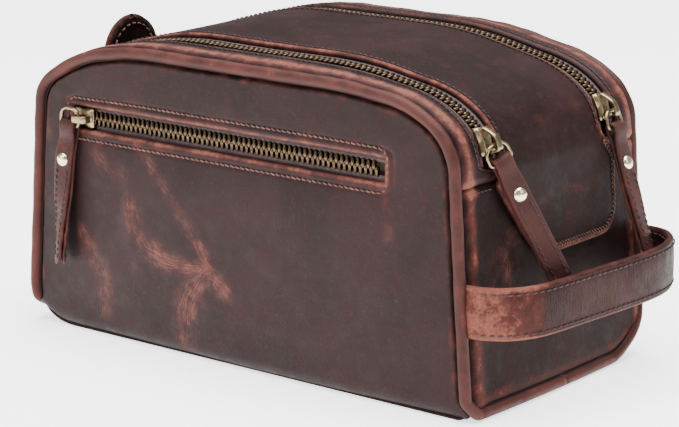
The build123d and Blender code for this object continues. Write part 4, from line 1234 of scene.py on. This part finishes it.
def make_linings():
    for side, label in ((-1, "front"), (1, "back")):
        g = np.stack(shrink([outline_loop(e) for e in (4.6, 5.2, 6.0, 8.0, 11.0)], PANEL_CORE, 25), axis=1)
        y = side * (59.5 + 0 * g[..., 0])
        p = np.stack([g[..., 0], y, g[..., 1]], -1)
        p[..., 1] -= side * (0.5 + cloth_sag(p, 0.9)) * smooth(0, 5, np.arange(g.shape[1]))[None]
        v, f, _ = sheet(settle(p), 0.5, (0, side, 0), closed=True, filled=True)
        to_mesh(f"{label.capitalize()}_lining", v, f, LINING, "bag_body", [f"{label}_lining"], "lining_cloth")
    shapes = []
    s, y = np.meshgrid(np.linspace(SEAM_LEFT - ROUND, SEAM_RIGHT, 200), np.linspace(-59, 59, 60),
                       indexing="ij")
    p = band(s, y, -LINING_DEPTH)
    lift = -LINING_DEPTH - np.abs(cloth_sag(p, 1.2)) * (1 - smooth(50, 59, np.abs(y)))
    shapes.append(sheet(band(s, y, lift), 0.5, outward_of(s))[:2])
    for side in (-1, 1):
        s, y = np.meshgrid(np.linspace(SEAM_RIGHT + 0.4, SEAM_LEFT - 0.4, 170), np.linspace(56.6, 59, 5),
                           indexing="ij")
        shapes.append(sheet(band(s, side * y, -LINING_DEPTH), 0.5, outward_of(s))[:2])
    to_mesh("Gusset_lining", *join_shapes(shapes), LINING, "bag_body", ["gusset_lining"], "lining_cloth")
    s, y = np.meshgrid(np.linspace(station(z=107.0), station(x=-88.0), 150), np.linspace(-34, 34, 40),
                       indexing="ij")
    p = band(s, y, -3.3)
    v, f, _ = sheet(band(s, y, -3.2 - np.abs(cloth_sag(p, 0.8)) * (1 - smooth(26, 34, np.abs(y)))), 0.5,
                    outward_of(s))
    o = to_mesh("Lid_lining", v, f, LINING, None, ["lid_lining"], "lining_cloth")
    bend_with_lid(o)


def make_pouch():
    shapes = []
    box = (-98.5, 84.5, 34.5, 113.5)
    for y0, sign in ((-60.9, 1), (-64.9, -1)):
        loops = [rounded_rect(*box, 6.0, e) for e in (2.4, 1.6, 0.6, -1.0, -3.0)]
        far = (rounded_rect(*WINDOW, 0.8, 1.2) if sign < 0
               else rounded_rect(-70, 56, 72, 76, 1.8, 0))
        g = np.stack(shrink(loops, far, 19), axis=1)
        fill = smooth(0, 6, np.arange(g.shape[1]))[None]
        p = np.stack([g[..., 0], 0 * g[..., 0], g[..., 1]], -1)
        p[..., 1] = -62.7 + fill * (y0 + 62.7) + 0.25 * fill * ripple(p, 30)
        shapes.append(sheet(settle(p), 0.45, (0, sign, 0), closed=True, filled=sign > 0)[:2])
    to_mesh("Pocket_pouch", *join_shapes(shapes), LINING, "bag_body", ["pocket_pouch"], "lining_cloth")


def make_board():
    """The stiff fibre board in the bottom, which lies in the settled leather."""
    (x0, y0, z0), (x1, y1, z1) = (np.array(c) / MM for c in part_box("base_board"))
    corner, spare = 22.0, 1.5
    loops = [rounded_rect(x0, x1, y0, y1, corner, -spare - e) for e in (0.0, 0.6, 1.4, 3.0, 5.5)]
    far = rounded_rect(-70, 70, -4, 4, 3.5, 0)
    g = np.stack(shrink(loops, far, 19), axis=1)
    p = settle(np.stack([g[..., 0], g[..., 1], z1 + 0.7 + 0.1 * ripple(np.insert(g, 2, 0, -1), 45)], -1))
    v, f, _ = sheet(p, z1 - z0, (0, 0, 1), closed=True, filled=True)
    to_mesh("Base_board", v, f, BOARD, "bag_body", ["base_board"], "board")


# ---------------------------------------------------------------- CAD pieces that keep their shape
def finish_cad_nodes():
    for node in frame["nodes"].values():
        if not node.hide_render:
            node.data.materials.clear()
            node.data.materials.append(CAD_BRASS)


def on_object(material, name):
    """A copy of a material that reads the object's own coordinates, for a CAD mesh that has no attributes."""
    m = material.copy()
    m.name = name
    tree = m.node_tree
    for n in [n for n in tree.nodes if n.type == "ATTRIBUTE"]:
        if n.attribute_name == "rest":
            c = tree.nodes.new("ShaderNodeTexCoord")
            for link in list(n.outputs["Vector"].links):
                tree.links.new(c.outputs["Object"], link.to_socket)
            tree.nodes.remove(n)
    return m


CAD_BRASS = on_object(BRASS, "Slider_brass")


# ---------------------------------------------------------------- the bag
make_front_panel()
make_back_panel()
make_piping(-1, "Front")
make_piping(1, "Back")
make_gusset()
make_strip(-1, "Front")
make_strip(1, "Back")
make_end_seams()
make_lid()
for side, label in ((-1, "Front"), (1, "Back")):
    make_top_zip(side, label)
make_pocket_zip()
for label in ("front", "back", "pocket"):
    make_slider(label)
make_ring("front", -0.5)
make_ring("back", 0.0)
make_ring("pocket", 0.0)
make_pull("front", 60.5, roll=-0.5, bend=0.8)
make_pull("back", 57.0, bend=0.8, twist=0.25)
make_pull("pocket", 66.0, twist=-0.6, bend=1.5, drift=0.6, taper=0.9)
make_handle()
make_tab()
make_linings()
make_pouch()
make_board()
finish_cad_nodes()


# ---------------------------------------------------------------- floor, light and camera
def add_floor():
    me = bpy.data.meshes.new("Floor")
    size = 6.0
    me.from_pydata([(-size, -size, 0), (size, -size, 0), (size, size, 0), (-size, size, 0)], [],
                   [(0, 1, 2, 3)])
    o = bpy.data.objects.new("Floor", me)
    bpy.context.scene.collection.objects.link(o)
    m = Nodes("Floor_white", (1, 1, 1))
    place = m.node("ShaderNodeTexCoord").outputs["Object"]
    me.materials.append(m.finish(m.mix(m.noise(place, 3.0), (0.93, 0.93, 0.93), (0.96, 0.96, 0.96)), 0.7,
                                 Specular_IOR_Level=0.2,
                                Emission_Color=(1, 1, 1, 1), Emission_Strength=1.7))


def add_light(name, place, size, power, target=(0, 0, 0.07), size_y=None):
    data = bpy.data.lights.new(name, "AREA")
    data.energy = power
    data.size = size
    if size_y:
        data.shape, data.size_y = "RECTANGLE", size_y
    o = bpy.data.objects.new(name, data)
    o.location = place
    o.rotation_euler = (Vector(target) - Vector(place)).to_track_quat("-Z", "Y").to_euler()
    bpy.context.scene.collection.objects.link(o)


def add_world():
    world = bpy.data.worlds.new("Studio")
    bpy.context.scene.world = world
    world.use_nodes = True
    back = world.node_tree.nodes["Background"]
    back.inputs[0].default_value = (1.0, 1.0, 1.0, 1)
    back.inputs[1].default_value = 0.42


def add_camera():
    az, el, distance = math.radians(38.37), math.radians(14.16), 1183.3
    back = Vector((math.sin(az) * math.cos(el), -math.cos(az) * math.cos(el), math.sin(el)))
    right = Vector((math.cos(az), math.sin(az), 0))
    up = back.cross(right)
    cam = bpy.data.cameras.new("Camera")
    cam.sensor_width, cam.lens = 36.0, 134.55
    cam.clip_start, cam.clip_end = 0.05, 50.0
    o = bpy.data.objects.new("Camera", cam)
    o.rotation_euler = Matrix((right, up, back)).transposed().to_euler()
    o.location = (right * 3.5 + up * 55.97 + back * distance) * MM
    bpy.context.scene.collection.objects.link(o)
    bpy.context.scene.camera = o


add_floor()
add_world()
add_light("Top_softbox", (0.1, 0.1, 2.2), 2.2, 190)
add_light("Front_softbox", (-0.5, -1.7, 1.3), 1.0, 25)
add_light("Left_card", (-1.3, -1.75, 0.55), 0.8, 9)
add_light("Right_fill", (1.7, 0.2, 0.9), 0.8, 4)
add_camera()
